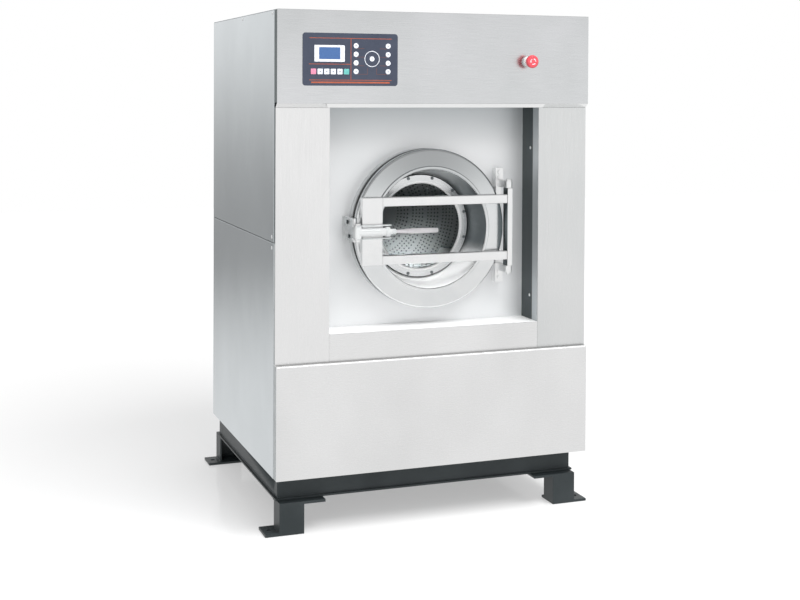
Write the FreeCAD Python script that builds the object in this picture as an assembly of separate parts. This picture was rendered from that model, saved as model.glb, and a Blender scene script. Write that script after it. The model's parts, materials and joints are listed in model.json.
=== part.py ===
import FreeCAD, Part
import math
import os

# Front-loading washer-extractor on an anchored floor stand, in millimetres.
# The origin is the middle of the four floor anchor holes, on the floor.
# +Z is up, -Y is the front, +X is the viewer's right.

# Cabinet
cabinet_width = 1000.0
cabinet_depth = 850.0
cabinet_height = 1360.0
sheet = 2.0                    # stainless panel thickness
fold = 30.0                    # width of the folded panel edges
seam = 2.0                     # open joint between the upper and lower side panels
seam_height = 685.0            # seam above the cabinet's bottom
front_box = 35.0               # front pieces stand this far ahead of the side panels
edge_inset = 8.0               # side folds of the front pieces stand in from the corner
panel_screw_r = 5.0
panel_screw_head = 1.5
seam_screw_margin = 16.0       # screws above and below the seam
top_screw_margin = 11.0
screw_setback = 20.0           # screws behind the side panel's front edge
recess_screw_drop = 127.0
recess_screw_rise = 74.0
recess_screw_depth = 57.0

# Floor stand
anchor_overhang = 1.0          # anchor holes outside the cabinet's sides
front_anchor_setback = 75.0    # from the fascia's face back to the front anchor holes
rear_anchor_setback = 0.0      # from the rear panel's face to the rear anchor holes
anchor_hole_r = 7.0
foot_plate = 8.0
foot_plate_depth = 80.0
foot_plate_margin = 21.0       # plate beyond the anchor hole, outwards
foot_height = 95.0
leg_inset = 20.0               # leg's outer face in from the cabinet side
leg_width = 75.0
leg_depth = 65.0
leg_wall = 6.0
bracket_plate_width = 140.0    # plate on top of the leg, under the rails
rail_height = 75.0
rail_flange = 40.0
rail_wall = 6.0
rail_toe = 7.0                 # lower flanges beyond the outer rails
rail_inset = 22.0
rail_front_setback = 70.0
rail_rear_setback = 5.0

# Front pieces
fascia_height = 271.0
lip_drop = 12.0                # sloping lip under the fascia
column_setback = 15.0
column_width = 163.0
lower_panel_height = 333.0
sill_height = 81.0             # sill panel above the lower front panel

# Door, on an axis that runs front to back
door_height = 708.0            # door axis above the cabinet's bottom
door_r = 243.0
door_front = 60.0              # depth of the door ring's face behind the fascia's face
door_thickness = 24.0
door_sheet = 3.0
door_rim_round = 8.0
door_bend = 2.0                # small bends of the pressing
door_face_width = 52.0         # front face of the ring, with its rounded rim
door_face_fall = 6.0           # face leans back towards the rim
door_lip = 4.0                 # bead around the dish
door_dish = 105.0              # dish depth behind the ring's face
dish_narrowing = 17.0
glass_flange = 27.0
glass_t = 6.0
glass_seat = 9.0               # width of the flange under the glass
glass_fit = 0.3
glass_gasket_proud = 3.0       # gasket beyond the clamp ring
clamp_ring_t = 4.0
clamp_edge_gap = 6.0           # clamp ring to the dish
clamp_overhang = 6.0           # clamp ring inwards beyond the flange
clamp_bolt_count = 12
clamp_bolt_r = 3.0
clamp_bolt_head_r = 5.0
clamp_bolt_head = 3.5
clamp_bolt_fit = 0.1
clamp_nut = 4.0
door_gasket_inset = 1.0        # gasket in from the ring's rim
door_gasket_width = 24.0
door_gasket_t = 19.7
door_gasket_clearance = 0.3
door_gasket_edge = 3.0
collar_margin = 1.0            # collar beyond the gasket
dish_clearance = 10.0          # dish to the collar's bore
collar_height = 26.0           # collar in front of the door surround
collar_wall = 3.0
collar_edge = 2.0
hole_clearance = 0.5

# Door carrier and hinge
hinge_gap = 8.0                # hinge axis beyond the door ring
hinge_setback = 12.0           # hinge axis behind the yoke's front
hinge_pin_r = 5.5
hinge_pin_head_r = 9.0
hinge_post_width = 16.0
hinge_post_depth = 33.0
hinge_post_edge = 1.5
hinge_post_length = 240.0
hinge_fit = 0.05               # radial running clearance of the pins
hinge_play = 0.3               # end play between the post and the hinge brackets
hinge_arm = 21.0               # height of the hinge bracket's arm
hinge_arm_width = 22.0
hinge_pad_height = 58.0
hinge_pad_width = 26.0
hinge_pad_inset = 18.0         # pad's left edge from the hinge axis
hinge_pad_t = 26.0
hinge_bolt_r = 6.5
hinge_bolt_head = 4.0
hinge_tail = 42.0              # base plate of the bracket beyond the arm, towards the middle
hinge_tail_width = 18.0
hinge_tail_t = 10.0
yoke_bar_t = 20.0
yoke_pad_t = 5.0               # weld pads between the bars and the ring
yoke_bar_height = 28.0
yoke_height = 202.0
yoke_edge = 3.0                # eased edges of the bars
yoke_pad_edge = 4.0            # weld pads stand in from the ring's rounded edges
pin_fit = 0.02                 # radial clearance of a pin in its fixed lugs
pin_overhang = 6.0
latch_plate_width = 65.0
latch_plate_inset = 13.0       # latch plate's outer edge in from the ring's rim

# Latch
latch_pin_outset = 19.0        # latch pin out from the latch plate's outer edge
latch_stand_off = 15.0         # latch pin in front of the yoke
latch_pin_r = 5.0
latch_pin_head_r = 9.0
latch_nut_r = 7.0
latch_eye_r = 12.0
latch_eye_height = 34.0
latch_lug_t = 4.0
latch_lug_reach = 106.0        # lugs beyond the latch pin, towards the grip
latch_lug_gap = 0.3
latch_base_t = 2.0             # raised pad behind the lever
lever_r = 12.5
lever_length = 99.0
lever_nut_r = 15.0
lever_nut = 12.0
lever_neck_r = 8.5
lever_neck = 20.0
grip_root_r = 4.5
grip_swell_r = 8.0
grip_swell = 52.0              # from the neck to the thickest part of the grip
grip_swell_round = 40.0
grip_end_r = 7.2
grip_length = 135.0
grip_end_round = 3.0
keeper_clearance = 4.0         # keeper beside the door ring
keeper_gap = 3.0               # keeper behind the lugs
keeper_t = 6.0
keeper_catch_r = 5.0
keeper_rise = 40.0             # keeper above the door's axis
keeper_drop = 30.0             # keeper below the door's axis
keeper_foot = 14.0
keeper_plate = 4.0
keeper_block = 5.0
keeper_block_height = 27.0
keeper_bolt_r = 6.0
keeper_bolt_head = 4.0

# Outer tub and drum
tub_wall = 4.0
tub_back_wall = 6.0
tub_front_gap = 4.0            # door surround to the tub's front wall
drum_r = 340.0
drum_wall = 2.0
drum_plate = 4.0
drum_side_gap = 36.0           # drum to tub, all round
drum_front_gap = 36.0
drum_rear_gap = 34.0
drum_mouth_step = 5.0          # drum mouth wider than the collar's bore
drum_mouth_roll = 8.0
lifter_height = 60.0
lifter_width = 70.0
lifter_crest = 28.0
lifter_round = 8.0
lifter_count = 3
shaft_r = 30.0
shaft_fit = 0.05
bearing_r = 55.0
bearing_width = 30.0
hub_r = 75.0
hub_length = 118.0
hub_flange_r = 150.0
hub_flange = 12.0
saddle_t = 10.0
saddle_outer = 300.0           # tub saddles from the middle of the machine
saddle_inner = 210.0
saddle_clearance = 0.2
front_saddle_depth = 230.0     # from the fascia's face
rear_saddle_setback = 290.0    # from the rear panel's face

# Drive
drum_pulley_r = 200.0
motor_pulley_r = 45.0
pulley_width = 44.0
pulley_rim = 6.0
pulley_flange = 4.0
pulley_gap = 15.0              # behind the bearing hub
pulley_rear_gap = 27.0         # in front of the rear panel
web_hole_r = 45.0
web_hole_count = 6
belt_count = 3
belt_width = 11.0
belt_t = 8.0
belt_clearance = 0.3
motor_r = 90.0
motor_length = 210.0
motor_height = 110.0           # motor axis above the base frame
motor_shaft_r = 14.0
motor_foot_width = 150.0
motor_foot_length = 120.0
motor_gap = 12.0               # motor to its pulley
motor_shaft_depth = 40.0

# Water connections
drain_offset = 150.0
drain_depth = 410.0
drain_pipe_r = 40.0
outlet_r = 38.0                # hose spigot outside the rear panel
outlet_wall = 3.0
drain_height = 210.0           # outlet axis above the base frame
drain_valve_width = 90.0
outlet_reach = 38.0            # outlet beyond the rear panel
inlet_height = 1180.0
inlet_offset = 100.0           # first inlet from the middle of the machine
inlet_pitch = 100.0
inlet_r = 13.2                 # three-quarter inch male thread
inlet_neck_r = 15.0
inlet_bore_r = 9.0
inlet_reach = 34.0
inlet_body_r = 22.0
inlet_body_length = 60.0

# Controls on the fascia
overlay_left = 75.0            # from the cabinet's left side
overlay_width = 291.0
overlay_height = 153.0
overlay_bottom = 51.5          # above the fascia's lower edge
overlay_t = 1.5
overlay_corner = 9.0
lcd_left = 35.0                # from the overlay's left edge
lcd_bottom = 69.5              # from the overlay's lower edge
lcd_width = 92.0
lcd_height = 48.0
lcd_proud = 0.7
window_corner = 2.0            # corners of the display, the keys and their windows
key_count = 6
key_size = 16.0
key_pitch = 20.0
key_left = 32.3                # first key's middle from the overlay's left edge
key_bottom = 41.0              # keys' middle from the overlay's lower edge
key_t = 2.0
key_travel = 0.5
key_back_gap = 0.1             # left under a pressed key
key_fit = 0.3
stop_offset = 291.0            # stop button from the middle of the fascia
stop_height = 128.0            # above the fascia's lower edge
stop_head_r = 20.0
stop_head_t = 21.0
stop_head_round = 9.0
stop_reach = 40.0
stop_stem_r = 8.0
stop_stem_engagement = 5.0
stop_stem_tail = 20.0
stop_fit = 0.05
stop_collar_r = 16.0
stop_collar_t = 10.0

# Worked out from the sizes above
half_width = cabinet_width / 2
anchor_pitch_x = cabinet_width + 2 * anchor_overhang
anchor_pitch_y = cabinet_depth - front_anchor_setback - rear_anchor_setback
front = -anchor_pitch_y / 2 - front_anchor_setback
back = front + cabinet_depth
side_front = front + front_box
base_top = foot_height + rail_height
top = base_top + cabinet_height
fascia_bottom = top - fascia_height
recess_top = fascia_bottom - lip_drop
column_face = front + column_setback
lower_top = base_top + lower_panel_height
sill_top = lower_top + sill_height
recess_half = half_width - column_width
door_z = base_top + door_height
ring_face = front + door_front
rim_face = ring_face + door_face_fall
ring_back = ring_face + door_thickness
gasket_back = ring_back + door_gasket_t
collar_face = gasket_back + door_gasket_clearance
surround = collar_face + collar_height
flange_face = ring_face + door_dish
glass_face = flange_face - glass_t
clamp_face = glass_face - clamp_ring_t
face_inner_r = door_r - door_face_width
bead_r = face_inner_r - door_bend
dish_r = bead_r - 2 * door_lip
dish_end_r = dish_r - dish_narrowing
flange_r = dish_end_r - glass_flange
glass_r = flange_r + glass_seat
clamp_ring_r = dish_end_r - clamp_edge_gap
clamp_opening_r = flange_r - clamp_overhang
door_gasket_r = door_r - door_gasket_inset
collar_r = door_gasket_r + collar_margin
collar_bore_r = dish_r + door_sheet + dish_clearance
drum_mouth_r = collar_bore_r + drum_mouth_step
bolt_circle_r = (clamp_ring_r + glass_r) / 2
yoke_back = ring_face - yoke_pad_t
yoke_front = yoke_back - yoke_bar_t
hinge_x = door_r + hinge_gap
hinge_y = yoke_front + hinge_setback
latch_plate_left = latch_plate_inset - door_r
latch_x = latch_plate_left - latch_pin_outset
latch_y = yoke_front - latch_stand_off
pulley_back = back - sheet - pulley_rear_gap
pulley_front = pulley_back - pulley_width
hub_end = pulley_front - pulley_gap
tub_front = surround + sheet + tub_front_gap
tub_back = hub_end - hub_length
tub_inner_back = tub_back - tub_back_wall
tub_r = drum_r + drum_side_gap + tub_wall
drum_front = tub_front + tub_wall + drum_front_gap
drum_back = tub_inner_back - drum_rear_gap - drum_plate
motor_z = base_top + motor_height
overlay_x = -half_width + overlay_left
overlay_z = fascia_bottom + overlay_bottom
stop_z = fascia_bottom + stop_height

os.makedirs("parts", exist_ok=True)


def save(name, shape):
    shape.exportStep("parts/" + name + ".step")


def box(x0, x1, y0, y1, z0, z1):
    corner = FreeCAD.Vector(min(x0, x1), min(y0, y1), min(z0, z1))
    return Part.makeBox(abs(x1 - x0), abs(y1 - y0), abs(z1 - z0), corner)


def rod_x(y, z, r, x0, x1):
    return Part.makeCylinder(r, x1 - x0, FreeCAD.Vector(x0, y, z), FreeCAD.Vector(1, 0, 0))


def rod_y(x, z, r, y0, y1):
    return Part.makeCylinder(r, y1 - y0, FreeCAD.Vector(x, y0, z), FreeCAD.Vector(0, 1, 0))


def rod_z(x, y, r, z0, z1):
    return Part.makeCylinder(r, z1 - z0, FreeCAD.Vector(x, y, z0))


def joined(shapes):
    return shapes[0].multiFuse(shapes[1:]).removeSplitter()


def group(shapes):
    return Part.makeCompound(shapes)


# A closed outline through (u, v, corner radius) points, placed in space by the given function
def rounded_wire(corners, place):
    turns = []
    for i, (u, v, radius) in enumerate(corners):
        here = FreeCAD.Vector(u, v, 0)
        before = corners[i - 1]
        after = corners[(i + 1) % len(corners)]
        to_before = (FreeCAD.Vector(before[0], before[1], 0) - here).normalize()
        to_after = (FreeCAD.Vector(after[0], after[1], 0) - here).normalize()
        if radius == 0:
            turns.append((here, None, here))
            continue
        half_angle = to_before.getAngle(to_after) / 2
        reach = radius / math.tan(half_angle)
        inwards = (to_before + to_after).normalize()
        middle = here + inwards * (radius / math.sin(half_angle) - radius)
        turns.append((here + to_before * reach, middle, here + to_after * reach))
    edges = []
    for i, (start, middle, end) in enumerate(turns):
        if middle is not None:
            edges.append(Part.Arc(place(start), place(middle), place(end)).toShape())
        following = turns[(i + 1) % len(turns)][0]
        edges.append(Part.LineSegment(place(end), place(following)).toShape())
    return Part.Wire(edges)


# Turns an outline of (radius, y, corner radius) points about the door axis
def spun(corners):
    wire = rounded_wire(corners, lambda p: FreeCAD.Vector(p.x, p.y, door_z))
    axis_point = FreeCAD.Vector(0, 0, door_z)
    return Part.Face(wire).revolve(axis_point, FreeCAD.Vector(0, 1, 0), 360)


# Extrudes an outline of (x, z, corner radius) points from y0 to y1
def plate_xz(corners, y0, y1):
    wire = rounded_wire(corners, lambda p: FreeCAD.Vector(p.x, y0, p.y))
    return Part.Face(wire).extrude(FreeCAD.Vector(0, y1 - y0, 0))


# Extrudes an outline of (y, z, corner radius) points from x0 to x1
def plate_yz(corners, x0, x1):
    wire = rounded_wire(corners, lambda p: FreeCAD.Vector(x0, p.x, p.y))
    return Part.Face(wire).extrude(FreeCAD.Vector(x1 - x0, 0, 0))


def rectangle(u0, u1, v0, v1, radius):
    return [(u0, v0, radius), (u1, v0, radius), (u1, v1, radius), (u0, v1, radius)]


def ring_y(x, z, r_out, r_in, y0, y1):
    return rod_y(x, z, r_out, y0, y1).cut(rod_y(x, z, r_in, y0, y1))


# Points on a circle about the door axis, as (x, z)
def around(count, r, start_deg):
    points = []
    for i in range(count):
        angle = math.radians(start_deg + 360 * i / count)
        points.append((r * math.cos(angle), door_z + r * math.sin(angle)))
    return points


def mirrored_x(shape):
    return shape.mirror(FreeCAD.Vector(0, 0, 0), FreeCAD.Vector(1, 0, 0))


def mirrored_y(shape):
    return shape.mirror(FreeCAD.Vector(0, 0, 0), FreeCAD.Vector(0, 1, 0))


# Floor stand: the right rear foot is drawn and mirrored to the other corners
def foot():
    hole_x = anchor_pitch_x / 2
    hole_y = anchor_pitch_y / 2
    leg_outer = half_width - leg_inset
    leg_inner = leg_outer - leg_width
    plate_y0 = hole_y - foot_plate_depth / 2
    plate_y1 = hole_y + foot_plate_depth / 2
    leg_y0 = plate_y1 - leg_depth
    plate_top = foot_height - foot_plate
    floor_plate = box(leg_inner, hole_x + foot_plate_margin, plate_y0, plate_y1, 0, foot_plate)
    floor_plate = floor_plate.cut(rod_z(hole_x, hole_y, anchor_hole_r, 0, foot_plate))
    leg = box(leg_inner, leg_outer, leg_y0, plate_y1, foot_plate, plate_top)
    hollow = box(
        leg_inner + leg_wall, leg_outer - leg_wall, leg_y0, plate_y1 - leg_wall, foot_plate, plate_top)
    top_plate = box(leg_outer - bracket_plate_width, leg_outer, plate_y0, plate_y1, plate_top, foot_height)
    return joined([floor_plate, leg.cut(hollow), top_plate])


rear_right = foot()
save("foot_rear_right", rear_right)
save("foot_rear_left", mirrored_x(rear_right))
save("foot_front_right", mirrored_y(rear_right))
save("foot_front_left", mirrored_x(mirrored_y(rear_right)))


# A rail of channel section, with its open side towards `open_to`; rails along X have end caps
def channel(x0, x1, y0, y1, open_to):
    solid = box(x0, x1, y0, y1, foot_height, base_top)
    low = foot_height + rail_wall
    high = base_top - rail_wall
    if open_to == "-x":
        return solid.cut(box(x0, x1 - rail_wall, y0, y1, low, high))
    if open_to == "+y":
        return solid.cut(box(x0 + rail_wall, x1 - rail_wall, y0 + rail_wall, y1, low, high))
    return solid.cut(box(x0 + rail_wall, x1 - rail_wall, y0, y1 - rail_wall, low, high))


rail_outer = half_width - rail_inset
rail_inner = rail_outer - rail_flange
rail_front = front + rail_front_setback
rail_rear = back - rail_rear_setback
motor_front = pulley_front - motor_gap - motor_length
motor_middle = motor_front + motor_length / 2
saddle_middles = (front + front_saddle_depth, back - rear_saddle_setback)
cross_middles = saddle_middles + (motor_middle,)

toe_top = foot_height + rail_wall
toe_x = rail_outer + rail_toe
front_rail = joined([
    channel(-rail_outer, rail_outer, rail_front, rail_front + rail_flange, "+y"),
    box(-toe_x, toe_x, rail_front - rail_toe, rail_front, foot_height, toe_top),
])
rear_rail = joined([
    channel(-rail_outer, rail_outer, rail_rear - rail_flange, rail_rear, "-y"),
    box(-toe_x, toe_x, rail_rear, rail_rear + rail_toe, foot_height, toe_top),
])
right_rail = joined([
    channel(rail_inner, rail_outer, rail_front + rail_flange, rail_rear - rail_flange, "-x"),
    box(rail_outer, toe_x, rail_front, rail_rear, foot_height, toe_top),
])
base_rails = [front_rail, rear_rail, right_rail, mirrored_x(right_rail)]
for middle in cross_middles:
    start = middle - rail_flange / 2
    base_rails.append(channel(-rail_inner, rail_inner, start, start + rail_flange, "+y"))
save("base_frame", group(base_rails))


# Side panels: shallow trays with folded edges, drawn on the left and mirrored
def side_panel(z0, z1):
    outer = box(-half_width, -half_width + fold, side_front, back - sheet, z0, z1)
    inner = box(
        -half_width + sheet, -half_width + fold, side_front + sheet, back - 2 * sheet, z0 + sheet, z1 - sheet)
    return outer.cut(inner)


seam_z = base_top + seam_height
left_lower = side_panel(base_top, seam_z - seam / 2)
left_upper = side_panel(seam_z + seam / 2, top - sheet)
save("left_lower_panel", left_lower)
save("left_upper_panel", left_upper)
save("right_lower_panel", mirrored_x(left_lower))
save("right_upper_panel", mirrored_x(left_upper))
save("top_cover", box(-half_width, half_width, side_front, back, top - sheet, top))


# Rear panel with holes for the drain outlet and the water inlets
drain_z = base_top + drain_height
inlet_z = base_top + inlet_height
inlet_spots = (-inlet_offset - inlet_pitch, -inlet_offset)
side_clear = half_width - fold - edge_inset
rear_panel = joined([
    box(-half_width, half_width, back - sheet, back, base_top, top - sheet),
    box(-side_clear, side_clear, rail_rear - rail_flange, back - sheet, base_top, base_top + sheet),
])
rear_panel = rear_panel.cut(rod_y(-drain_offset, drain_z, drain_pipe_r + hole_clearance, back - sheet, back))
for x in inlet_spots:
    rear_panel = rear_panel.cut(rod_y(x, inlet_z, inlet_neck_r + hole_clearance, back - sheet, back))
save("rear_panel", rear_panel)


# Folds beside the front pieces, which carry them on the side panels
def side_folds(y0, z0, z1):
    outer = half_width - edge_inset
    right = box(outer - sheet, outer, y0, side_front, z0, z1)
    return [right, mirrored_x(right)]


# Control fascia: face, sloping lip and the ceiling of the door recess
lip_start = fascia_bottom + sheet
fascia_profile = [
    (front, top, 0), (front, fascia_bottom, 0), (column_face, recess_top, 0),
    (column_face + sheet, recess_top, 0), (column_face + sheet, recess_top + sheet, 0),
    (front + sheet, lip_start, 0), (front + sheet, top - sheet, 0),
    (side_front, top - sheet, 0), (side_front, top, 0),
]
ceiling_half = recess_half + fold
fascia = joined([
    plate_yz(fascia_profile, -half_width, half_width),
    box(-ceiling_half, ceiling_half, column_face + sheet, surround, recess_top, recess_top + sheet),
] + side_folds(front + sheet, lip_start, top - sheet))
stop_hole = rod_y(stop_offset, stop_z, stop_stem_r + hole_clearance, front, front + sheet)
save("control_fascia", fascia.cut(stop_hole))


# A front column: face, outer fold and the side wall of the door recess
def column():
    outer = half_width - edge_inset
    return joined([
        box(recess_half, half_width, column_face, column_face + sheet, lower_top, recess_top),
        box(outer - sheet, outer, column_face + sheet, side_front, lower_top, recess_top),
        box(recess_half, recess_half + sheet, column_face + sheet, surround, lower_top, recess_top),
    ])


save("right_column", column())
save("left_column", mirrored_x(column()))

save("sill_panel", joined([
    box(-recess_half, recess_half, column_face, column_face + sheet, lower_top, sill_top),
    box(-recess_half, recess_half, column_face + sheet, surround, sill_top - sheet, sill_top),
]))

save("lower_front_panel", joined([
    box(-half_width, half_width, front, front + sheet, base_top, lower_top),
    box(-half_width, half_width, front + sheet, side_front, lower_top - sheet, lower_top),
    box(-side_clear, side_clear, front + sheet, rail_front + rail_flange, base_top, base_top + sheet),
] + side_folds(front + sheet, base_top, lower_top - sheet)))

surround_plate = box(
    -ceiling_half, ceiling_half, surround, surround + sheet, sill_top - fold, recess_top + fold)
collar_hole_r = collar_bore_r + collar_wall + hole_clearance
save("door_surround", surround_plate.cut(rod_y(0, door_z, collar_hole_r, surround, surround + sheet)))

# Screw heads on the side panels and on the right wall of the door recess
screw_front = side_front + screw_setback
screw_middle = (front + back) / 2
screws = []
for y, z in (
    (screw_front, top - top_screw_margin), (screw_middle, top - top_screw_margin),
    (screw_front, seam_z - seam_screw_margin), (screw_front, seam_z + seam_screw_margin),
):
    head = rod_x(y, z, panel_screw_r, half_width, half_width + panel_screw_head)
    screws += [head, mirrored_x(head)]
for z in (recess_top - recess_screw_drop, sill_top + recess_screw_rise):
    y = column_face + recess_screw_depth
    screws.append(rod_x(y, z, panel_screw_r, recess_half - panel_screw_head, recess_half))
save("panel_screws", group(screws))

# Collar around the drum mouth, which the door closes on
collar_inner_wall = collar_bore_r + collar_wall
save("mouth_collar", spun([
    (collar_bore_r, collar_face, collar_edge), (collar_r, collar_face, collar_wall + collar_edge),
    (collar_r, surround, 0), (collar_r - collar_wall, surround, 0),
    (collar_r - collar_wall, collar_face + collar_wall, collar_edge),
    (collar_inner_wall, collar_face + collar_wall, collar_edge),
    (collar_inner_wall, tub_front, 0), (collar_bore_r, tub_front, 0),
]))

# Door ring: a pressed sheet with a rounded rim, a face that leans back, a bead and a deep dish
flange_back = flange_face + door_sheet
gasket_inner_r = door_gasket_r - door_gasket_width
bolt_spots = around(clamp_bolt_count, bolt_circle_r, 360 / clamp_bolt_count / 2)


def bolt_holes(shape):
    for x, z in bolt_spots:
        shape = shape.cut(rod_y(x, z, clamp_bolt_r + clamp_bolt_fit, clamp_face, flange_back))
    return shape


door_ring = spun([
    (gasket_inner_r, ring_back, 0), (door_r, ring_back, door_sheet + door_bend),
    (door_r, rim_face, door_rim_round), (face_inner_r, ring_face, door_bend / 2),
    (bead_r, ring_face - door_lip, door_bend / 2), (dish_r, ring_face - door_lip, door_sheet),
    (dish_end_r, flange_face, door_bend), (flange_r, flange_face, 0), (flange_r, flange_back, 0),
    (dish_end_r + door_sheet, flange_back, door_sheet + door_bend),
    (dish_r + door_sheet, ring_face + door_sheet, 0),
    (door_r - door_sheet, rim_face + door_sheet, door_rim_round - door_sheet),
    (door_r - door_sheet, ring_back - door_sheet, door_bend), (gasket_inner_r, ring_back - door_sheet, 0),
])
save("door_ring", bolt_holes(door_ring))

save("door_gasket", spun([
    (gasket_inner_r, ring_back, 0), (gasket_inner_r, gasket_back, door_gasket_edge),
    (door_gasket_r, gasket_back, door_gasket_edge), (door_gasket_r, ring_back, 0),
]))

save("door_glass", rod_y(0, door_z, glass_r, glass_face, flange_face))
glass_gasket_r = clamp_ring_r + glass_gasket_proud
glass_gasket = ring_y(0, door_z, glass_gasket_r, glass_r + glass_fit, glass_face, flange_face)
save("glass_gasket", bolt_holes(glass_gasket))
clamp_ring = spun([
    (clamp_opening_r, glass_face, 0), (clamp_opening_r, clamp_face, clamp_ring_t / 2),
    (clamp_ring_r, clamp_face, clamp_ring_t / 4), (clamp_ring_r, glass_face, 0),
])
save("glass_clamp_ring", bolt_holes(clamp_ring))

bolts = []
for x, z in bolt_spots:
    bolts.append(joined([
        rod_y(x, z, clamp_bolt_head_r, clamp_face - clamp_bolt_head, clamp_face),
        rod_y(x, z, clamp_bolt_r, clamp_face, flange_back),
        rod_y(x, z, clamp_bolt_head_r, flange_back, flange_back + clamp_nut),
    ]))
save("clamp_ring_bolts", group(bolts))

# Door carrier: latch plate and two bars, each standing on the ring by a pad
yoke_top = door_z + yoke_height / 2
yoke_bottom = door_z - yoke_height / 2
plate_right = latch_plate_left + latch_plate_width
pad_outer_r = door_r - door_rim_round + yoke_pad_edge
pad_inner_r = face_inner_r + yoke_pad_edge
pad_ring = ring_y(0, door_z, pad_outer_r, pad_inner_r, yoke_back, rim_face)
ring_front = spun([
    (0, ring_back, 0), (door_r, ring_back, 0), (door_r, rim_face, door_rim_round),
    (face_inner_r, ring_face, 0), (0, ring_face, 0),
])
post_left = hinge_x - hinge_post_width / 2
post_half = hinge_post_length / 2


def yoke_piece(x0, x1, z0, z1):
    bar = plate_yz(rectangle(yoke_front, yoke_back, z0, z1, yoke_edge), x0, x1)
    pad = pad_ring.common(box(x0, x1, yoke_back, rim_face, z0 + yoke_edge, z1 - yoke_edge))
    return joined([bar, pad.cut(ring_front)])


# Latch lugs stand on the latch plate, above and below the lever, with a raised pad between them
lug_inner = latch_eye_height / 2 + latch_lug_gap
lug_outer = lug_inner + latch_lug_t
latch_plate = [
    yoke_piece(latch_plate_left, plate_right, yoke_bottom, yoke_top),
    box(latch_plate_left, plate_right, yoke_front - latch_base_t, yoke_front,
        door_z - lug_outer, door_z + lug_outer),
]
for low, high in ((lug_inner, lug_outer), (-lug_outer, -lug_inner)):
    arm = box(
        latch_x - latch_eye_r, latch_x + latch_lug_reach, latch_y, yoke_front, door_z + low, door_z + high)
    latch_plate += [arm, rod_z(latch_x, latch_y, latch_eye_r, door_z + low, door_z + high)]
latch_plate = joined(latch_plate)
pin_bore = rod_z(latch_x, latch_y, latch_pin_r + pin_fit, door_z - lug_outer, door_z + lug_outer)
upper_bar = yoke_piece(plate_right, post_left, yoke_top - yoke_bar_height, yoke_top)
lower_bar = yoke_piece(plate_right, post_left, yoke_bottom, yoke_bottom + yoke_bar_height)
save("door_yoke", group([latch_plate.cut(pin_bore), upper_bar, lower_bar]))

post_back = yoke_front + hinge_post_depth
post = plate_yz(
    rectangle(yoke_front, post_back, door_z - post_half, door_z + post_half, hinge_post_edge),
    post_left, post_left + hinge_post_width)
post_bore = rod_z(hinge_x, hinge_y, hinge_pin_r + hinge_fit, door_z - post_half, door_z + post_half)
save("yoke_hinge_post", post.cut(post_bore))


# Hinge brackets: an arm from the door surround to the pin, a bolted pad beside it and a base plate
def hinge_bracket():
    z0 = door_z + post_half + hinge_play
    z1 = z0 + hinge_arm
    pad_left = hinge_x - hinge_pad_inset
    pad_right = pad_left + hinge_pad_width
    pad_front = surround - hinge_pad_t
    pieces = [
        box(hinge_x - hinge_arm_width / 2, hinge_x + hinge_arm_width / 2, hinge_y, surround, z0, z1),
        rod_z(hinge_x, hinge_y, hinge_arm_width / 2, z0, z1),
        box(pad_left, pad_right, pad_front, surround, z0, z0 + hinge_pad_height),
        box(pad_right - hinge_tail_width, pad_right, surround - hinge_tail_t, surround, z0 - hinge_tail, z0),
    ]
    bolt_x = (pad_left + pad_right) / 2
    for z in (z1 + hinge_bolt_r, z0 + hinge_pad_height - 2 * hinge_bolt_r):
        pieces.append(rod_y(bolt_x, z, hinge_bolt_r, pad_front - hinge_bolt_head, pad_front))
    return joined(pieces).cut(rod_z(hinge_x, hinge_y, hinge_pin_r + pin_fit, z0, z1))


upper_hinge = hinge_bracket()
lower_hinge = upper_hinge.mirror(FreeCAD.Vector(0, 0, door_z), FreeCAD.Vector(0, 0, 1))
save("hinge_brackets", group([upper_hinge, lower_hinge]))

pin_half = post_half + hinge_play + hinge_arm
hinge_pin = joined([
    rod_z(hinge_x, hinge_y, hinge_pin_r, door_z - pin_half - pin_overhang, door_z + pin_half),
    rod_z(hinge_x, hinge_y, hinge_pin_head_r, door_z + pin_half, door_z + pin_half + pin_overhang),
])
save("hinge_pin", hinge_pin)

# Latch: pin on the yoke, lever with its eye and neck, and a tapered grip
lever_end = latch_x + lever_length
neck_end = lever_end + lever_neck
eye_half = latch_eye_height / 2
latch_pin = joined([
    rod_z(latch_x, latch_y, latch_pin_r, door_z - lug_outer, door_z + lug_outer),
    rod_z(latch_x, latch_y, latch_nut_r, door_z - lug_outer - pin_overhang, door_z - lug_outer),
    rod_z(latch_x, latch_y, latch_pin_head_r, door_z + lug_outer, door_z + lug_outer + pin_overhang),
])
save("latch_pin", latch_pin)
lever = joined([
    rod_z(latch_x, latch_y, latch_eye_r, door_z - eye_half, door_z + eye_half),
    rod_x(latch_y, door_z, lever_r, latch_x, lever_end),
    rod_x(latch_y, door_z, lever_nut_r, lever_end - lever_nut, lever_end),
    rod_x(latch_y, door_z, lever_neck_r, lever_end, neck_end),
])
lever_bore = rod_z(latch_x, latch_y, latch_pin_r + hinge_fit, door_z - eye_half, door_z + eye_half)
save("latch_lever", lever.cut(lever_bore))

grip_wire = rounded_wire([
    (neck_end, 0, 0), (neck_end, grip_root_r, 0), (neck_end + grip_swell, grip_swell_r, grip_swell_round),
    (neck_end + grip_length, grip_end_r, grip_end_round), (neck_end + grip_length, 0, 0),
], lambda p: FreeCAD.Vector(p.x, latch_y, door_z + p.y))
grip_axis = FreeCAD.Vector(0, latch_y, door_z)
save("latch_grip", Part.Face(grip_wire).revolve(grip_axis, FreeCAD.Vector(1, 0, 0), 360))

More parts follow.
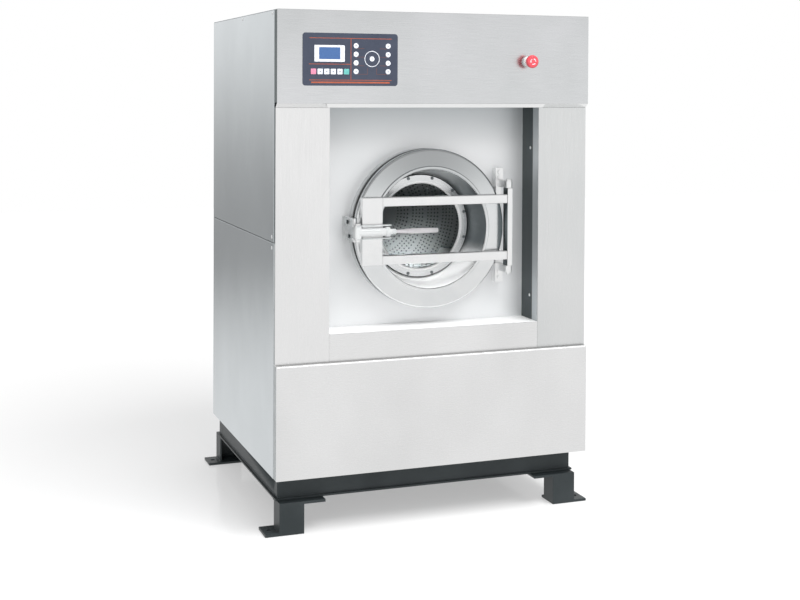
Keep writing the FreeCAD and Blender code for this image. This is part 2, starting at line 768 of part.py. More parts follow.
# Keeper: foot on the door surround, plate beside the ring with its catch in front, block and bolts
keeper_right = -door_r - keeper_clearance
keeper_left = keeper_right - keeper_t
block_left = keeper_left - keeper_block
keeper_face = surround - keeper_plate
catch_y = yoke_front + keeper_gap + keeper_catch_r
keeper_low = door_z - keeper_drop
keeper_high = door_z + keeper_rise
block_low = keeper_high - keeper_block_height
keeper = [
    box(keeper_right - keeper_foot, keeper_right, keeper_face, surround, keeper_low, keeper_high),
    box(keeper_left, keeper_right, catch_y, keeper_face, keeper_low, keeper_high),
    rod_z(keeper_right - keeper_catch_r, catch_y, keeper_catch_r, keeper_low, keeper_high),
    box(block_left, keeper_left, catch_y, keeper_face, block_low, keeper_high),
]
keeper_bolt_y = (catch_y + keeper_face) / 2
half_block = keeper_block_height / 2
for start, z in ((block_left, keeper_high - half_block), (keeper_left, keeper_low + half_block)):
    keeper.append(rod_x(keeper_bolt_y, z, keeper_bolt_r, start - keeper_bolt_head, start))
save("latch_keeper", joined(keeper))

# Outer tub
save("tub_front", ring_y(0, door_z, tub_r, collar_bore_r, tub_front, tub_front + tub_wall))
tub_shell = ring_y(0, door_z, tub_r, tub_r - tub_wall, tub_front + tub_wall, tub_inner_back)
drain_y = front + drain_depth
drain_bore_r = outlet_r - outlet_wall
save("tub_shell", tub_shell.cut(rod_z(-drain_offset, drain_y, drain_bore_r, base_top, door_z)))
hub_bore_start = tub_back + hub_flange
tub_back_plate = joined([
    rod_y(0, door_z, tub_r, tub_inner_back, tub_back),
    rod_y(0, door_z, hub_flange_r, tub_back, hub_bore_start),
    rod_y(0, door_z, hub_r, hub_bore_start, hub_end),
])
tub_back_plate = tub_back_plate.cut(rod_y(0, door_z, bearing_r, hub_bore_start, hub_end))
save("tub_back", tub_back_plate.cut(rod_y(0, door_z, shaft_r + shaft_fit, tub_inner_back, hub_bore_start)))
save("bearings", group([
    ring_y(0, door_z, bearing_r, shaft_r + shaft_fit, start, start + bearing_width)
    for start in (hub_bore_start, hub_end - bearing_width)
]))

# Saddles that carry the tub on the base frame's cross members, one on each side
saddle_top = door_z - math.sqrt(tub_r ** 2 - saddle_outer ** 2)
saddles = []
for middle in saddle_middles:
    y0 = middle - saddle_t / 2
    y1 = y0 + saddle_t
    saddle = box(saddle_inner, saddle_outer, y0, y1, base_top, saddle_top)
    saddle = saddle.cut(rod_y(0, door_z, tub_r + saddle_clearance, y0, y1))
    saddles += [saddle, mirrored_x(saddle)]
save("tub_saddles", group(saddles))

# Drum with its lifters, shaft and pulley
shell_front = drum_front + drum_plate
drum_inner_r = drum_r - drum_wall
save("drum_shell", ring_y(0, door_z, drum_r, drum_inner_r, shell_front, drum_back))
mouth_lip = drum_front - drum_mouth_roll
save("drum_front_ring", spun([
    (drum_mouth_r, mouth_lip, 0), (drum_mouth_r + drum_plate, mouth_lip, 0),
    (drum_mouth_r + drum_plate, drum_front, 0), (drum_r, drum_front, 0),
    (drum_r, shell_front, 0), (drum_mouth_r, shell_front, 0),
]))
save("drum_back", rod_y(0, door_z, drum_r, drum_back, drum_back + drum_plate))

lifter_base_z = door_z + drum_r
lifter_crest_z = door_z + drum_inner_r - lifter_height
lifter_profile = [
    (-lifter_width / 2, lifter_base_z, 0), (-lifter_crest / 2, lifter_crest_z, lifter_round),
    (lifter_crest / 2, lifter_crest_z, lifter_round), (lifter_width / 2, lifter_base_z, 0),
]
lifter = plate_xz(lifter_profile, shell_front, drum_back)
lifter = lifter.common(rod_y(0, door_z, drum_inner_r, shell_front, drum_back))
lifters = []
for i in range(lifter_count):
    turned = lifter.copy()
    turned.rotate(FreeCAD.Vector(0, 0, door_z), FreeCAD.Vector(0, 1, 0), 360 * i / lifter_count)
    lifters.append(turned)
save("drum_lifters", group(lifters))

save("drum_shaft", rod_y(0, door_z, shaft_r, drum_back + drum_plate, pulley_back))


def pulley(z, r):
    return joined([
        rod_y(0, z, r, pulley_front, pulley_back),
        rod_y(0, z, r + pulley_rim, pulley_front, pulley_front + pulley_flange),
        rod_y(0, z, r + pulley_rim, pulley_back - pulley_flange, pulley_back),
    ])


web_hole_circle_r = (shaft_r + drum_pulley_r) / 2
drum_pulley = pulley(door_z, drum_pulley_r).cut(rod_y(0, door_z, shaft_r, pulley_front, pulley_back))
for x, z in around(web_hole_count, web_hole_circle_r, 0):
    drum_pulley = drum_pulley.cut(rod_y(x, z, web_hole_r, pulley_front, pulley_back))
save("drum_pulley", drum_pulley)

# Motor on the rear cross member, with its pulley and the belts
motor_back = motor_front + motor_length
motor_foot_top = motor_z - motor_r / 2
motor = joined([
    rod_y(0, motor_z, motor_r, motor_front, motor_back),
    box(-motor_foot_width / 2, motor_foot_width / 2, motor_middle - motor_foot_length / 2,
        motor_middle + motor_foot_length / 2, base_top, motor_foot_top),
])
motor_bore = rod_y(0, motor_z, motor_shaft_r + shaft_fit, motor_back - motor_shaft_depth, motor_back)
save("drive_motor", motor.cut(motor_bore))
shaft_start = motor_back - motor_shaft_depth + motor_gap / 2
save("motor_pulley", joined([
    pulley(motor_z, motor_pulley_r), rod_y(0, motor_z, motor_shaft_r, shaft_start, pulley_front)]))


# A loop around both pulleys at the given distance from their rims
def belt_face(offset, y):
    big = drum_pulley_r + offset
    small = motor_pulley_r + offset
    tilt = math.asin((big - small) / (door_z - motor_z))

    def spot(z, r, side):
        return FreeCAD.Vector(side * r * math.cos(tilt), y, z - r * math.sin(tilt))

    over = FreeCAD.Vector(0, y, door_z + big)
    under = FreeCAD.Vector(0, y, motor_z - small)
    edges = [
        Part.Arc(spot(door_z, big, -1), over, spot(door_z, big, 1)).toShape(),
        Part.LineSegment(spot(door_z, big, 1), spot(motor_z, small, 1)).toShape(),
        Part.Arc(spot(motor_z, small, 1), under, spot(motor_z, small, -1)).toShape(),
        Part.LineSegment(spot(motor_z, small, -1), spot(door_z, big, -1)).toShape(),
    ]
    return Part.Face(Part.Wire(edges))


groove_pitch = (pulley_width - 2 * pulley_flange) / belt_count
belts = []
for i in range(belt_count):
    y = pulley_front + pulley_flange + (i + 0.5) * groove_pitch - belt_width / 2
    loop = belt_face(belt_clearance + belt_t, y).cut(belt_face(belt_clearance, y))
    belts.append(loop.extrude(FreeCAD.Vector(0, belt_width, 0)))
save("drive_belts", group(belts))

# Drain valve under the tub with its outlet through the rear panel, and the water inlet valves
valve_half = drain_valve_width / 2
drain = joined([
    box(-drain_offset - valve_half, -drain_offset + valve_half, drain_y - valve_half, drain_y + valve_half,
        drain_z - valve_half, drain_z + valve_half),
    rod_z(-drain_offset, drain_y, drain_pipe_r, drain_z + valve_half, door_z),
    rod_y(-drain_offset, drain_z, drain_pipe_r, drain_y + valve_half, back),
    rod_y(-drain_offset, drain_z, outlet_r, back, back + outlet_reach),
])
drain = drain.cut(rod_y(0, door_z, tub_r + saddle_clearance, tub_front, tub_back))
drain = drain.cut(rod_y(-drain_offset, drain_z, drain_bore_r, drain_y, back + outlet_reach))
save("drain_valve", drain.cut(rod_z(-drain_offset, drain_y, drain_bore_r, drain_z, door_z)))

inlet_seat = back - sheet
inlets = []
for x in inlet_spots:
    valve = joined([
        rod_y(x, inlet_z, inlet_body_r, inlet_seat - inlet_body_length, inlet_seat),
        rod_y(x, inlet_z, inlet_neck_r, inlet_seat, back),
        rod_y(x, inlet_z, inlet_r, back, back + inlet_reach),
    ])
    inlets.append(valve.cut(rod_y(x, inlet_z, inlet_bore_r, inlet_seat, back + inlet_reach)))
save("inlet_valves", group(inlets))

# Control overlay with windows for the display and the keys
overlay = plate_xz(rectangle(
    overlay_x, overlay_x + overlay_width, overlay_z, overlay_z + overlay_height, overlay_corner),
    front - overlay_t, front)
lcd_x = overlay_x + lcd_left
lcd_z = overlay_z + lcd_bottom
lcd_right = lcd_x + lcd_width
lcd_top = lcd_z + lcd_height
lcd_window = plate_xz(rectangle(
    lcd_x - key_fit, lcd_right + key_fit, lcd_z - key_fit, lcd_top + key_fit, window_corner),
    front - overlay_t, front)
overlay = overlay.cut(lcd_window)
save("lcd_display", plate_xz(rectangle(
    lcd_x, lcd_right, lcd_z, lcd_top, window_corner), front - overlay_t - lcd_proud, front))

key_back = front - key_travel - key_back_gap
key_z = overlay_z + key_bottom
for i in range(key_count):
    x = overlay_x + key_left + i * key_pitch
    window_half = key_size / 2 + key_fit
    overlay = overlay.cut(plate_xz(rectangle(
        x - window_half, x + window_half, key_z - window_half, key_z + window_half, window_corner),
        front - overlay_t, front))
    key = plate_xz(rectangle(
        x - key_size / 2, x + key_size / 2, key_z - key_size / 2, key_z + key_size / 2, window_corner),
        key_back - key_t, key_back)
    save("key_" + str(i + 1), key)
save("control_overlay", overlay)

# Mushroom stop button: fixed collar, sliding stem and turning head
head_front = front - stop_reach
head_back = head_front + stop_head_t
stem_front = head_back - stop_stem_engagement
collar_front = front - stop_collar_t
save("stop_collar", ring_y(stop_offset, stop_z, stop_collar_r, stop_stem_r + stop_fit, collar_front, front))
save("stop_stem", rod_y(stop_offset, stop_z, stop_stem_r, stem_front, front + stop_stem_tail))
neck_r = stop_head_r - stop_head_round / 2
head_wire = rounded_wire([
    (0, head_front, 0), (stop_head_r, head_front, stop_head_round),
    (stop_head_r, head_back - stop_head_round, stop_head_round / 3),
    (neck_r, head_back, 0), (0, head_back, 0),
], lambda p: FreeCAD.Vector(stop_offset + p.x, p.y, stop_z))
head_axis = FreeCAD.Vector(stop_offset, 0, stop_z)
head = Part.Face(head_wire).revolve(head_axis, FreeCAD.Vector(0, 1, 0), 360)
save("stop_head", head.cut(rod_y(stop_offset, stop_z, stop_stem_r + stop_fit, stem_front, head_back)))
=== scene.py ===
import json
import math

import bmesh
import bpy
from mathutils import Matrix, Vector


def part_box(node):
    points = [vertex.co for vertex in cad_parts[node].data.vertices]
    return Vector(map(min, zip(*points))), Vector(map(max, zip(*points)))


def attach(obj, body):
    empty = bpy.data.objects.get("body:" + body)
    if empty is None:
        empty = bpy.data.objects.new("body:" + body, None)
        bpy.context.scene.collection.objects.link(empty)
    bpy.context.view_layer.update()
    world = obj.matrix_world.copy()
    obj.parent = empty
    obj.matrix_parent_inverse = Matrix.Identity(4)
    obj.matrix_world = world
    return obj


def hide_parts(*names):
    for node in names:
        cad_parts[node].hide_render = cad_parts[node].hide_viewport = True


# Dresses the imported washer-extractor, in metres, in the frame of the solids.
# Sizes below are millimetres, turned into metres by the mesh functions.

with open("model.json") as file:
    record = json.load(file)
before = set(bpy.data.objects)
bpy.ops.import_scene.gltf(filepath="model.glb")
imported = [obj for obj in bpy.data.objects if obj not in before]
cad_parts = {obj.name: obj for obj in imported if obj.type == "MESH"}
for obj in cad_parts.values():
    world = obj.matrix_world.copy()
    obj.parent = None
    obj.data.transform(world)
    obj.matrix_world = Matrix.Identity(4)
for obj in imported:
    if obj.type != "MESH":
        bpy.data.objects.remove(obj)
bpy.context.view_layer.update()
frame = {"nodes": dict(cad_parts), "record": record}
nodes = frame["nodes"]
mm = 0.001
sharpAngle = math.radians(34)
flatAngle = math.radians(0.5)
mergeGap = {"solid": 0.002, "turned": 0.001}  # corners closer than this are one

# The door's axis runs front to back at this height, and everything round the door turns about it
doorZ = sum(corner.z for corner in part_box("door_glass")) / 2 / mm

# The body that each solid rides on
bodyOf = {node: body for body, members in frame["record"]["behaviour"]["bodies"].items() for node in members}


# Lowest and highest corner of a solid, in millimetres
def boxOf(node):
    low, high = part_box(node)
    return low / mm, high / mm


# A colour written as sRGB hex, in linear light
def linear(hexColour):
    channels = [int(hexColour[i:i + 2], 16) / 255 for i in (0, 2, 4)]
    return tuple(c / 12.92 if c <= 0.04045 else ((c + 0.055) / 1.055) ** 2.4 for c in channels) + (1.0,)


# Adds a shader node to a tree: plain settings by name, inputs as values or as sockets to link from
def addNode(tree, kind, inputs=None, **settings):
    node = tree.nodes.new("ShaderNode" + kind)
    for key, value in settings.items():
        setattr(node, key, value)
    for key, value in (inputs or {}).items():
        if isinstance(value, bpy.types.NodeSocket):
            tree.links.new(value, node.inputs[key])
        else:
            node.inputs[key].default_value = value
    return node


noiseRange = {"From Min": 0.3, "From Max": 0.7}  # noise gathers round its middle, so this part is stretched
colourA, colourB, colourMixed = 6, 7, 2  # where a Mix node has its colours


def newMaterial(name, inputs):
    material = bpy.data.materials.new(name)
    material.use_nodes = True
    tree = material.node_tree
    tree.nodes.clear()
    shader = addNode(tree, "BsdfPrincipled", inputs)
    output = addNode(tree, "OutputMaterial")
    tree.links.new(shader.outputs["BSDF"], output.inputs["Surface"])
    return material, tree, shader


# Noise over the object's own coordinates, with the length in mm that one grain has along each axis
def grainNoise(tree, grain, detail):
    place = addNode(tree, "TexCoord")
    scale = [1 / (size * mm) for size in grain]
    mapping = addNode(tree, "Mapping", {"Vector": place.outputs["Object"], "Scale": scale})
    noise = addNode(tree, "TexNoise", {
        "Vector": mapping.outputs["Vector"], "Scale": 1.0, "Detail": detail, "Roughness": 0.6})
    return noise.outputs["Fac"]


# Turning marks: rings about the door's axis, with the width in mm of one ring
def turningRings(tree, ring):
    place = addNode(tree, "TexCoord")
    shift = addNode(tree, "VectorMath", {0: place.outputs["Object"], 1: (0, 0, doorZ * mm)},
                    operation="SUBTRACT")
    flat = addNode(tree, "VectorMath", {0: shift.outputs["Vector"], 1: (1, 0, 1)},
                   operation="MULTIPLY")
    radius = addNode(tree, "VectorMath", {0: flat.outputs["Vector"]}, operation="LENGTH")
    rings = addNode(tree, "TexNoise", {
        "W": radius.outputs["Value"], "Scale": 1 / (ring * mm), "Detail": 3.0}, noise_dimensions="1D")
    return rings.outputs["Fac"]


# Rises softly from 0 to 1 between two places in mm along an axis of the object
def riseAlong(tree, axis, start, end):
    place = addNode(tree, "TexCoord")
    axes = addNode(tree, "SeparateXYZ", {0: place.outputs["Object"]})
    rise = addNode(tree, "MapRange", {
        "Value": axes.outputs[axis], "From Min": start * mm, "From Max": end * mm},
        interpolation_type="SMOOTHSTEP")
    return rise.outputs["Result"]


# The dark and the light tone of a finish, mixed by a pattern
def mottled(tree, pattern, s):
    share = addNode(tree, "MapRange", {"Value": pattern, **noiseRange})
    dark, light = s["tones"]
    mix = addNode(tree, "Mix", {
        "Factor": share.outputs["Result"], colourA: linear(dark), colourB: linear(light)}, data_type="RGBA")
    return mix.outputs[colourMixed]


# A darker tone towards the top, painted shade: on the surround under the fascia's overhang, and on the door
# ring where its top reflects darker surroundings: two heights in mm and a colour
def shadeUp(tree, colour, s):
    if "shade" not in s:
        return colour
    low, high, tone = s["shade"]
    mix = addNode(tree, "Mix", {
        "Factor": riseAlong(tree, "Z", low, high), colourA: colour, colourB: linear(tone)}, data_type="RGBA")
    return mix.outputs[colourMixed]


# Roughness that follows a pattern by a swing to both sides, and a relief of the same pattern
def textured(tree, shader, pattern, s, swing, relief):
    rough = addNode(tree, "MapRange", {
        "Value": pattern, **noiseRange, "To Min": s["rough"] - swing, "To Max": s["rough"] + swing})
    tree.links.new(rough.outputs["Result"], shader.inputs["Roughness"])
    raised = addNode(tree, "Bump", {"Height": pattern, "Strength": relief, "Distance": s["depth"] * mm})
    tree.links.new(raised.outputs["Normal"], shader.inputs["Normal"])


# Brushed stainless sheet: lines along the grain, drawn coarser than real ones so that they show,
# with broad faint clouding
def brushedSteel(name, s):
    s = {"metal": 1.0, "depth": 0.02, **s}
    material, tree, shader = newMaterial(name, {"Metallic": s["metal"]})
    clouds = grainNoise(tree, (260, 260, 340), detail=2.0)
    tree.links.new(shadeUp(tree, mottled(tree, clouds, s), s), shader.inputs["Base Color"])
    textured(tree, shader, grainNoise(tree, s["grain"], detail=3.0), s, swing=0.05, relief=0.25)
    return material


# Spun stainless: turning rings about the door's axis, drawn wide enough to show
def spunSteel(name, s):
    material, tree, shader = newMaterial(name, {"Metallic": 1.0})
    clouds = grainNoise(tree, (90, 90, 90), detail=2.0)
    tree.links.new(shadeUp(tree, mottled(tree, clouds, s), s), shader.inputs["Base Color"])
    textured(tree, shader, turningRings(tree, s["ring"]), s, swing=0.05, relief=0.2)
    return material


# Satin steel of the door's dish, with painted light and shade in its colour: paler at the bottom as a painted
# highlight, and darkest at the right as painted shade
def satinDish(name, s):
    material, tree, shader = newMaterial(name, {})
    right = riseAlong(tree, "X", *s["darkFrom"])
    rise = riseAlong(tree, "Z", *(doorZ + z for z in s["paleTo"]))
    upper = addNode(tree, "Mix", {
        "Factor": right, colourA: linear(s["middle"]), colourB: linear(s["shaded"])}, data_type="RGBA")
    whole = addNode(tree, "Mix", {
        "Factor": rise, colourA: linear(s["pale"]), colourB: upper.outputs[colourMixed]}, data_type="RGBA")
    tree.links.new(whole.outputs[colourMixed], shader.inputs["Base Color"])
    metal = addNode(tree, "MapRange", {
        "Value": rise, **noiseRange, "To Min": s["metal"][0], "To Max": s["metal"][1]})
    tree.links.new(metal.outputs["Result"], shader.inputs["Metallic"])
    textured(tree, shader, turningRings(tree, s["ring"]), s, swing=0.05, relief=0.2)
    return material


# Cast, painted, moulded and rolled surfaces: a fine skin over a colour that varies a little
def skinned(name, s):
    s = {"metal": 0.0, "coat": 0.0, "gloss": 0.5, **s}
    material, tree, shader = newMaterial(name, {
        "Metallic": s["metal"], "Coat Weight": s["coat"], "Coat Roughness": 0.12,
        "Specular IOR Level": s["gloss"]})
    clouds = grainNoise(tree, (s["cloud"],) * 3, detail=2.0)
    tree.links.new(mottled(tree, clouds, s), shader.inputs["Base Color"])
    textured(tree, shader, grainNoise(tree, (s["skin"],) * 3, detail=4.0), s, swing=0.06, relief=0.3)
    return material


# Toughened window glass, dark and faintly green, with a trace of water marks
def windowGlass(name, s):
    material, tree, shader = newMaterial(name, {
        "Base Color": linear(s["tint"]), "Alpha": s["alpha"], "Specular IOR Level": 0.8, "IOR": 1.5})
    marks = grainNoise(tree, (40, 40, 70), detail=5.0)
    rough = addNode(tree, "MapRange", {"Value": marks, **noiseRange, "To Max": s["rough"]})
    tree.links.new(rough.outputs["Result"], shader.inputs["Roughness"])
    return material


# Backlit display: blue light, faintly mottled by its cells
def displayLight(name, s):
    material, tree, shader = newMaterial(name, {"Roughness": 0.2, "Emission Strength": s["strength"]})
    colour = mottled(tree, grainNoise(tree, (s["cell"],) * 3, detail=0.0), s)
    tree.links.new(colour, shader.inputs["Base Color"])
    tree.links.new(colour, shader.inputs["Emission Color"])
    return material


# Grain along one axis, and settings that several finishes share
acrossX = (70, 0.9, 0.9)
upright = (0.9, 0.9, 90)
frontToBack = (0.9, 60, 0.9)
polish = {"metal": 1.0, "rough": 0.3, "skin": 1.2, "cloud": 45, "depth": 0.01}
seam = {"rough": 0.6, "skin": 0.9, "cloud": 35, "depth": 0.03}
moulded = {"rough": 0.45, "skin": 0.7, "cloud": 30, "depth": 0.03}
ink = {"rough": 0.4, "skin": 0.5, "cloud": 20, "depth": 0.008}
keyCap = {"rough": 0.35, "skin": 0.5, "cloud": 9, "depth": 0.01}
look = {
    "sidePanel": brushedSteel("sideStainless", {
        "tones": ("c7cdd0", "cfd5d8"), "rough": 0.2, "grain": upright}),
    "fascia": brushedSteel("fasciaStainless", {
        "tones": ("d3d5d6", "dcdddf"), "rough": 0.26, "grain": acrossX}),
    "column": brushedSteel("columnStainless", {
        "tones": ("eeeeee", "f3f3f3"), "rough": 0.3, "grain": upright}),
    "rightColumn": brushedSteel("shadedColumnStainless", {
        "tones": ("dcdede", "e4e5e5"), "rough": 0.3, "grain": upright}),
    "paleFold": brushedSteel("paleFoldStainless", {
        "tones": ("f6f7f7", "fafafa"), "rough": 0.2, "grain": acrossX}),
    "sillTop": brushedSteel("sillTopStainless", {
        "tones": ("f6f7f7", "fafafa"), "metal": 0.2, "rough": 0.5, "grain": acrossX}),
    "lowerPanel": brushedSteel("lowerStainless", {
        "tones": ("e9e9e9", "f1f1f1"), "rough": 0.28, "grain": acrossX}),
    # The surround is painted darker towards its top, as shade under the fascia's overhang
    "surround": brushedSteel("surroundStainless", {
        "tones": ("eceeef", "f2f3f4"), "metal": 0.55, "rough": 0.42, "grain": acrossX, "depth": 0.03,
        "shade": (doorZ + 220, doorZ + 370, "ccd0d2")}),
    # Dark steel as painted shade on the recess's right wall, the tub back and the walls of the drum's holes;
    # the keeper's bolts take it too
    "recessWall": brushedSteel("shadedRecessSteel", {
        "tones": ("3f4648", "495052"), "rough": 0.34, "grain": upright}),
    "recessReturn": brushedSteel("recessReturnSteel", {
        "tones": ("b4b9bb", "c0c4c6"), "rough": 0.34, "grain": upright}),
    # The door ring is painted darker towards its top, as a darker reflection
    "door": spunSteel("spunDoorSteel", {
        "tones": ("e4e6e7", "eceded"), "rough": 0.18, "ring": 0.9, "depth": 0.02,
        "shade": (doorZ - 60, doorZ + 200, "c3c6c7")}),
    "dish": satinDish("satinDishSteel", {
        "pale": "fcfdfd", "middle": "c4c8c9", "shaded": "7c8386", "darkFrom": (40, 150),
        "paleTo": (-105, -45), "metal": (0.0, 0.5), "rough": 0.4, "ring": 0.9, "depth": 0.02}),
    "clamp": spunSteel("turnedClampSteel", {
        "tones": ("dcdedf", "e6e7e8"), "rough": 0.26, "ring": 0.7, "depth": 0.02}),
    "bolt": skinned("darkenedBoltSteel", {
        "tones": ("74797b", "82888a"), "metal": 1.0, "rough": 0.36, "skin": 0.6, "cloud": 8, "depth": 0.01}),
    "collar": spunSteel("spunCollarSteel", {
        "tones": ("c6c8c9", "d0d2d3"), "rough": 0.28, "ring": 0.9, "depth": 0.02}),
    "bright": skinned("polishedSteel", {"tones": ("f2f3f3", "f8f8f8"), **polish}),
    "drum": brushedSteel("drumStainless", {
        "tones": ("e8eaea", "f0f1f1"), "metal": 0.2, "rough": 0.5, "grain": frontToBack}),
    "lever": brushedSteel("satinLeverSteel", {
        "tones": ("dadcdd", "e4e6e6"), "metal": 0.55, "rough": 0.3, "grain": (0.8, 30, 0.8)}),
    "drumBack": brushedSteel("shadedDrumSteel", {
        "tones": ("929899", "9ea3a4"), "metal": 0.2, "rough": 0.45, "grain": (60, 0.9, 0.9)}),
    "tub": brushedSteel("tubStainless", {
        "tones": ("b4b7b8", "c2c5c5"), "rough": 0.4, "grain": frontToBack, "depth": 0.03}),
    "black": skinned("satinBlackPaint", {
        "tones": ("2c3234", "363c3e"), "rough": 0.45, "skin": 1.6, "cloud": 120, "depth": 0.05,
        "gloss": 0.3}),
    "shaft": skinned("groundSteel", {
        "tones": ("9c9fa0", "adb0b1"), "metal": 1.0, "rough": 0.3, "skin": 0.6, "cloud": 30, "depth": 0.01}),
    "iron": skinned("castIron", {
        "tones": ("4a4c4e", "5b5e60"), "metal": 1.0, "rough": 0.55, "skin": 2.2, "cloud": 40,
        "depth": 0.12}),
    "motor": skinned("motorEnamel", {
        "tones": ("55636d", "61707a"), "rough": 0.4, "skin": 1.8, "cloud": 60, "depth": 0.06, "coat": 0.1}),
    "rubber": skinned("blackRubber", {
        "tones": ("1b1d1e", "262829"), "rough": 0.62, "skin": 0.9, "cloud": 35, "depth": 0.04}),
    "greyPlastic": skinned("greyPlastic", {"tones": ("6d7376", "787e81"), **moulded}),
    "palePlastic": skinned("paleGreyPlastic", {"tones": ("d2d4d4", "dcdede"), **moulded}),
    "grooveShade": skinned("grooveShadeStrip", {"tones": ("5c6364", "666d6e"), **seam}),
    "seamPale": skinned("paleSeamRubber", {"tones": ("a9adae", "b4b8b9"), **seam}),
    # A darker copy of the keeper's steel, as painted shade: on the keeper's sides and on the fronts of the
    # yoke's lugs
    "paintedShadeSteel": skinned("paintedShadeKeeperSteel", {
        "tones": ("b4b9ba", "d6d9da"), "metal": 0.4, "rough": 0.3, "skin": 1.2, "cloud": 12, "depth": 0.03}),
    "shadedBar": skinned("shadedBarSteel", {"tones": ("656d70", "70787a"), **polish}),
    "grip": skinned("gripMetal", {
        "tones": ("d6d3d6", "e0dde0"), "metal": 0.8, "rough": 0.35, "skin": 0.8, "cloud": 25,
        "depth": 0.01}),
    "brass": skinned("turnedBrass", {
        "tones": ("b08d4c", "c6a562"), "metal": 1.0, "rough": 0.3, "skin": 0.5, "cloud": 12, "depth": 0.01}),
    "film": skinned("printedFilm", {
        "tones": ("343a49", "3b4150"), "rough": 0.38, "skin": 0.5, "cloud": 60, "depth": 0.01}),
    "filmOrange": skinned("orangePrint", {"tones": ("994a2e", "a85a42"), **ink}),
    "filmBrown": skinned("brownPrint", {"tones": ("6b4237", "7a4a3c"), **ink}),
    "filmWhite": skinned("whitePrint", {"tones": ("d4d7de", "dfe1e7"), **ink}),
    "filmGrey": skinned("greyPrint", {"tones": ("6a707c", "777d88"), **ink}),
    "keyPink": skinned("pinkKey", {"tones": ("cc7d97", "d688a2"), **keyCap}),
    "keyWhite": skinned("whiteKey", {"tones": ("cfd3db", "dadde4"), **keyCap}),
    "keyTeal": skinned("tealKey", {"tones": ("5aa5a0", "68b2ac"), **keyCap}),
    "stopRed": skinned("glossRedPlastic", {
        "tones": ("cb404a", "d84c57"), "rough": 0.25, "skin": 0.6, "cloud": 14, "depth": 0.008,
        "coat": 0.5}),
    "glass": windowGlass("windowGlass", {"tint": "263032", "alpha": 0.15, "rough": 0.06}),
    "display": displayLight("displayLight", {
        "tones": ("335180", "426290"), "cell": 1.4, "strength": 0.16}),
}
print("materials made:", len(look))


def finishPiece(name, bm, material, body, replaced=(), weighted=False):
    bmesh.ops.recalc_face_normals(bm, faces=bm.faces)
    mesh = bpy.data.meshes.new(name)
    bm.to_mesh(mesh)
    bm.free()
    mesh.materials.append(material)
    mesh.polygons.foreach_set("use_smooth", [True] * len(mesh.polygons))
    mesh.set_sharp_from_angle(angle=sharpAngle)
    piece = bpy.data.objects.new(name, mesh)
    bpy.context.scene.collection.objects.link(piece)
    if weighted:
        modifier = piece.modifiers.new("flatFaces", "WEIGHTED_NORMAL")
        modifier.keep_sharp = True
    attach(piece, body)
    if replaced:
        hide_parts(*replaced)
    return piece


# The mesh of a solid with its split corners joined and its flat faces whole again
def solidMesh(node):
    bm = bmesh.new()
    bm.from_mesh(nodes[node].data)
    bmesh.ops.remove_doubles(bm, verts=bm.verts, dist=mergeGap["solid"] * mm)
    bmesh.ops.dissolve_limit(bm, angle_limit=flatAngle, verts=bm.verts, edges=bm.edges)
    return bm


# Rounds the sharp edges of a mesh
def ease(bm, width, segments):
    sharp = [
        edge for edge in bm.edges
        if edge.is_manifold and abs(edge.calc_face_angle_signed()) > sharpAngle
    ]
    bmesh.ops.bevel(
        bm, geom=sharp, offset=width * mm, offset_type="OFFSET", affect="EDGES", segments=segments,
        profile=0.5, material=-1, clamp_overlap=True)


def easedSolid(node, material, width):
    bm = solidMesh(node)
    ease(bm, width, segments=3)
    return finishPiece(node + "_formed", bm, material, bodyOf[node], (node,), weighted=True)


# Gives another material to the faces of a piece that the test picks
def paintFaces(piece, material, test):
    piece.data.materials.append(material)
    for face in piece.data.polygons:
        if test(face.center / mm, face.normal):
            face.material_index = len(piece.data.materials) - 1


# Adds a box to a mesh, from two corners in millimetres
def addBox(bm, low, high):
    size = [abs(h - l) * mm for l, h in zip(low, high)]
    middle = [(h + l) / 2 * mm for l, h in zip(low, high)]
    place = Matrix.Translation(middle) @ Matrix.Diagonal((*size, 1.0))
    bmesh.ops.create_cube(bm, size=1.0, matrix=place)


# Turns an outline of (radius, distance along the axis) points about an axis from a point
def addTurned(bm, outline, start, axis, steps):
    direction = Vector(axis).normalized()
    side = direction.orthogonal().normalized()
    origin = Vector(start) * mm
    verts = [bm.verts.new(origin + side * r * mm + direction * d * mm) for r, d in outline]
    edges = [bm.edges.new(pair) for pair in zip(verts, verts[1:])]
    bmesh.ops.spin(
        bm, geom=verts + edges, cent=origin, axis=direction, angle=2 * math.pi, steps=steps, use_merge=True)
    bmesh.ops.remove_doubles(bm, verts=bm.verts, dist=mergeGap["turned"] * mm)


# A flat ring, or a disc, facing the front
def addRing(bm, x, z, outer, inner, y0, y1, steps):
    outline = [(inner, 0), (outer, 0), (outer, y1 - y0), (inner, y1 - y0)]
    addTurned(bm, outline + outline[:1] if inner else outline, (x, y0, z), (0, 1, 0), steps)


# A face through points in millimetres, extruded in place: the corners of its far end are returned to be moved
def startPrism(bm, points):
    face = bm.faces.new([bm.verts.new(Vector(point) * mm) for point in points])
    grown = bmesh.ops.extrude_face_region(bm, geom=[face], use_keep_orig=True)["geom"]
    return [item for item in grown if isinstance(item, bmesh.types.BMVert)]


# A prism with an outline of (x, z) points, from one depth to another
def addPrism(bm, outline, y0, y1):
    farEnd = startPrism(bm, [(x, y0, z) for x, z in outline])
    bmesh.ops.translate(bm, verts=farEnd, vec=(0, (y1 - y0) * mm, 0))


# A flat plate with an outline of (x, y) points, from one height to another
def addPlate(bm, outline, z0, z1):
    farEnd = startPrism(bm, [(x, y, z0) for x, y in outline])
    bmesh.ops.translate(bm, verts=farEnd, vec=(0, 0, (z1 - z0) * mm))


def polygon(x, z, r, count, turn=0.0):
    angles = [turn + 2 * math.pi * i / count for i in range(count)]
    return [(x + r * math.cos(a), z + r * math.sin(a)) for a in angles]


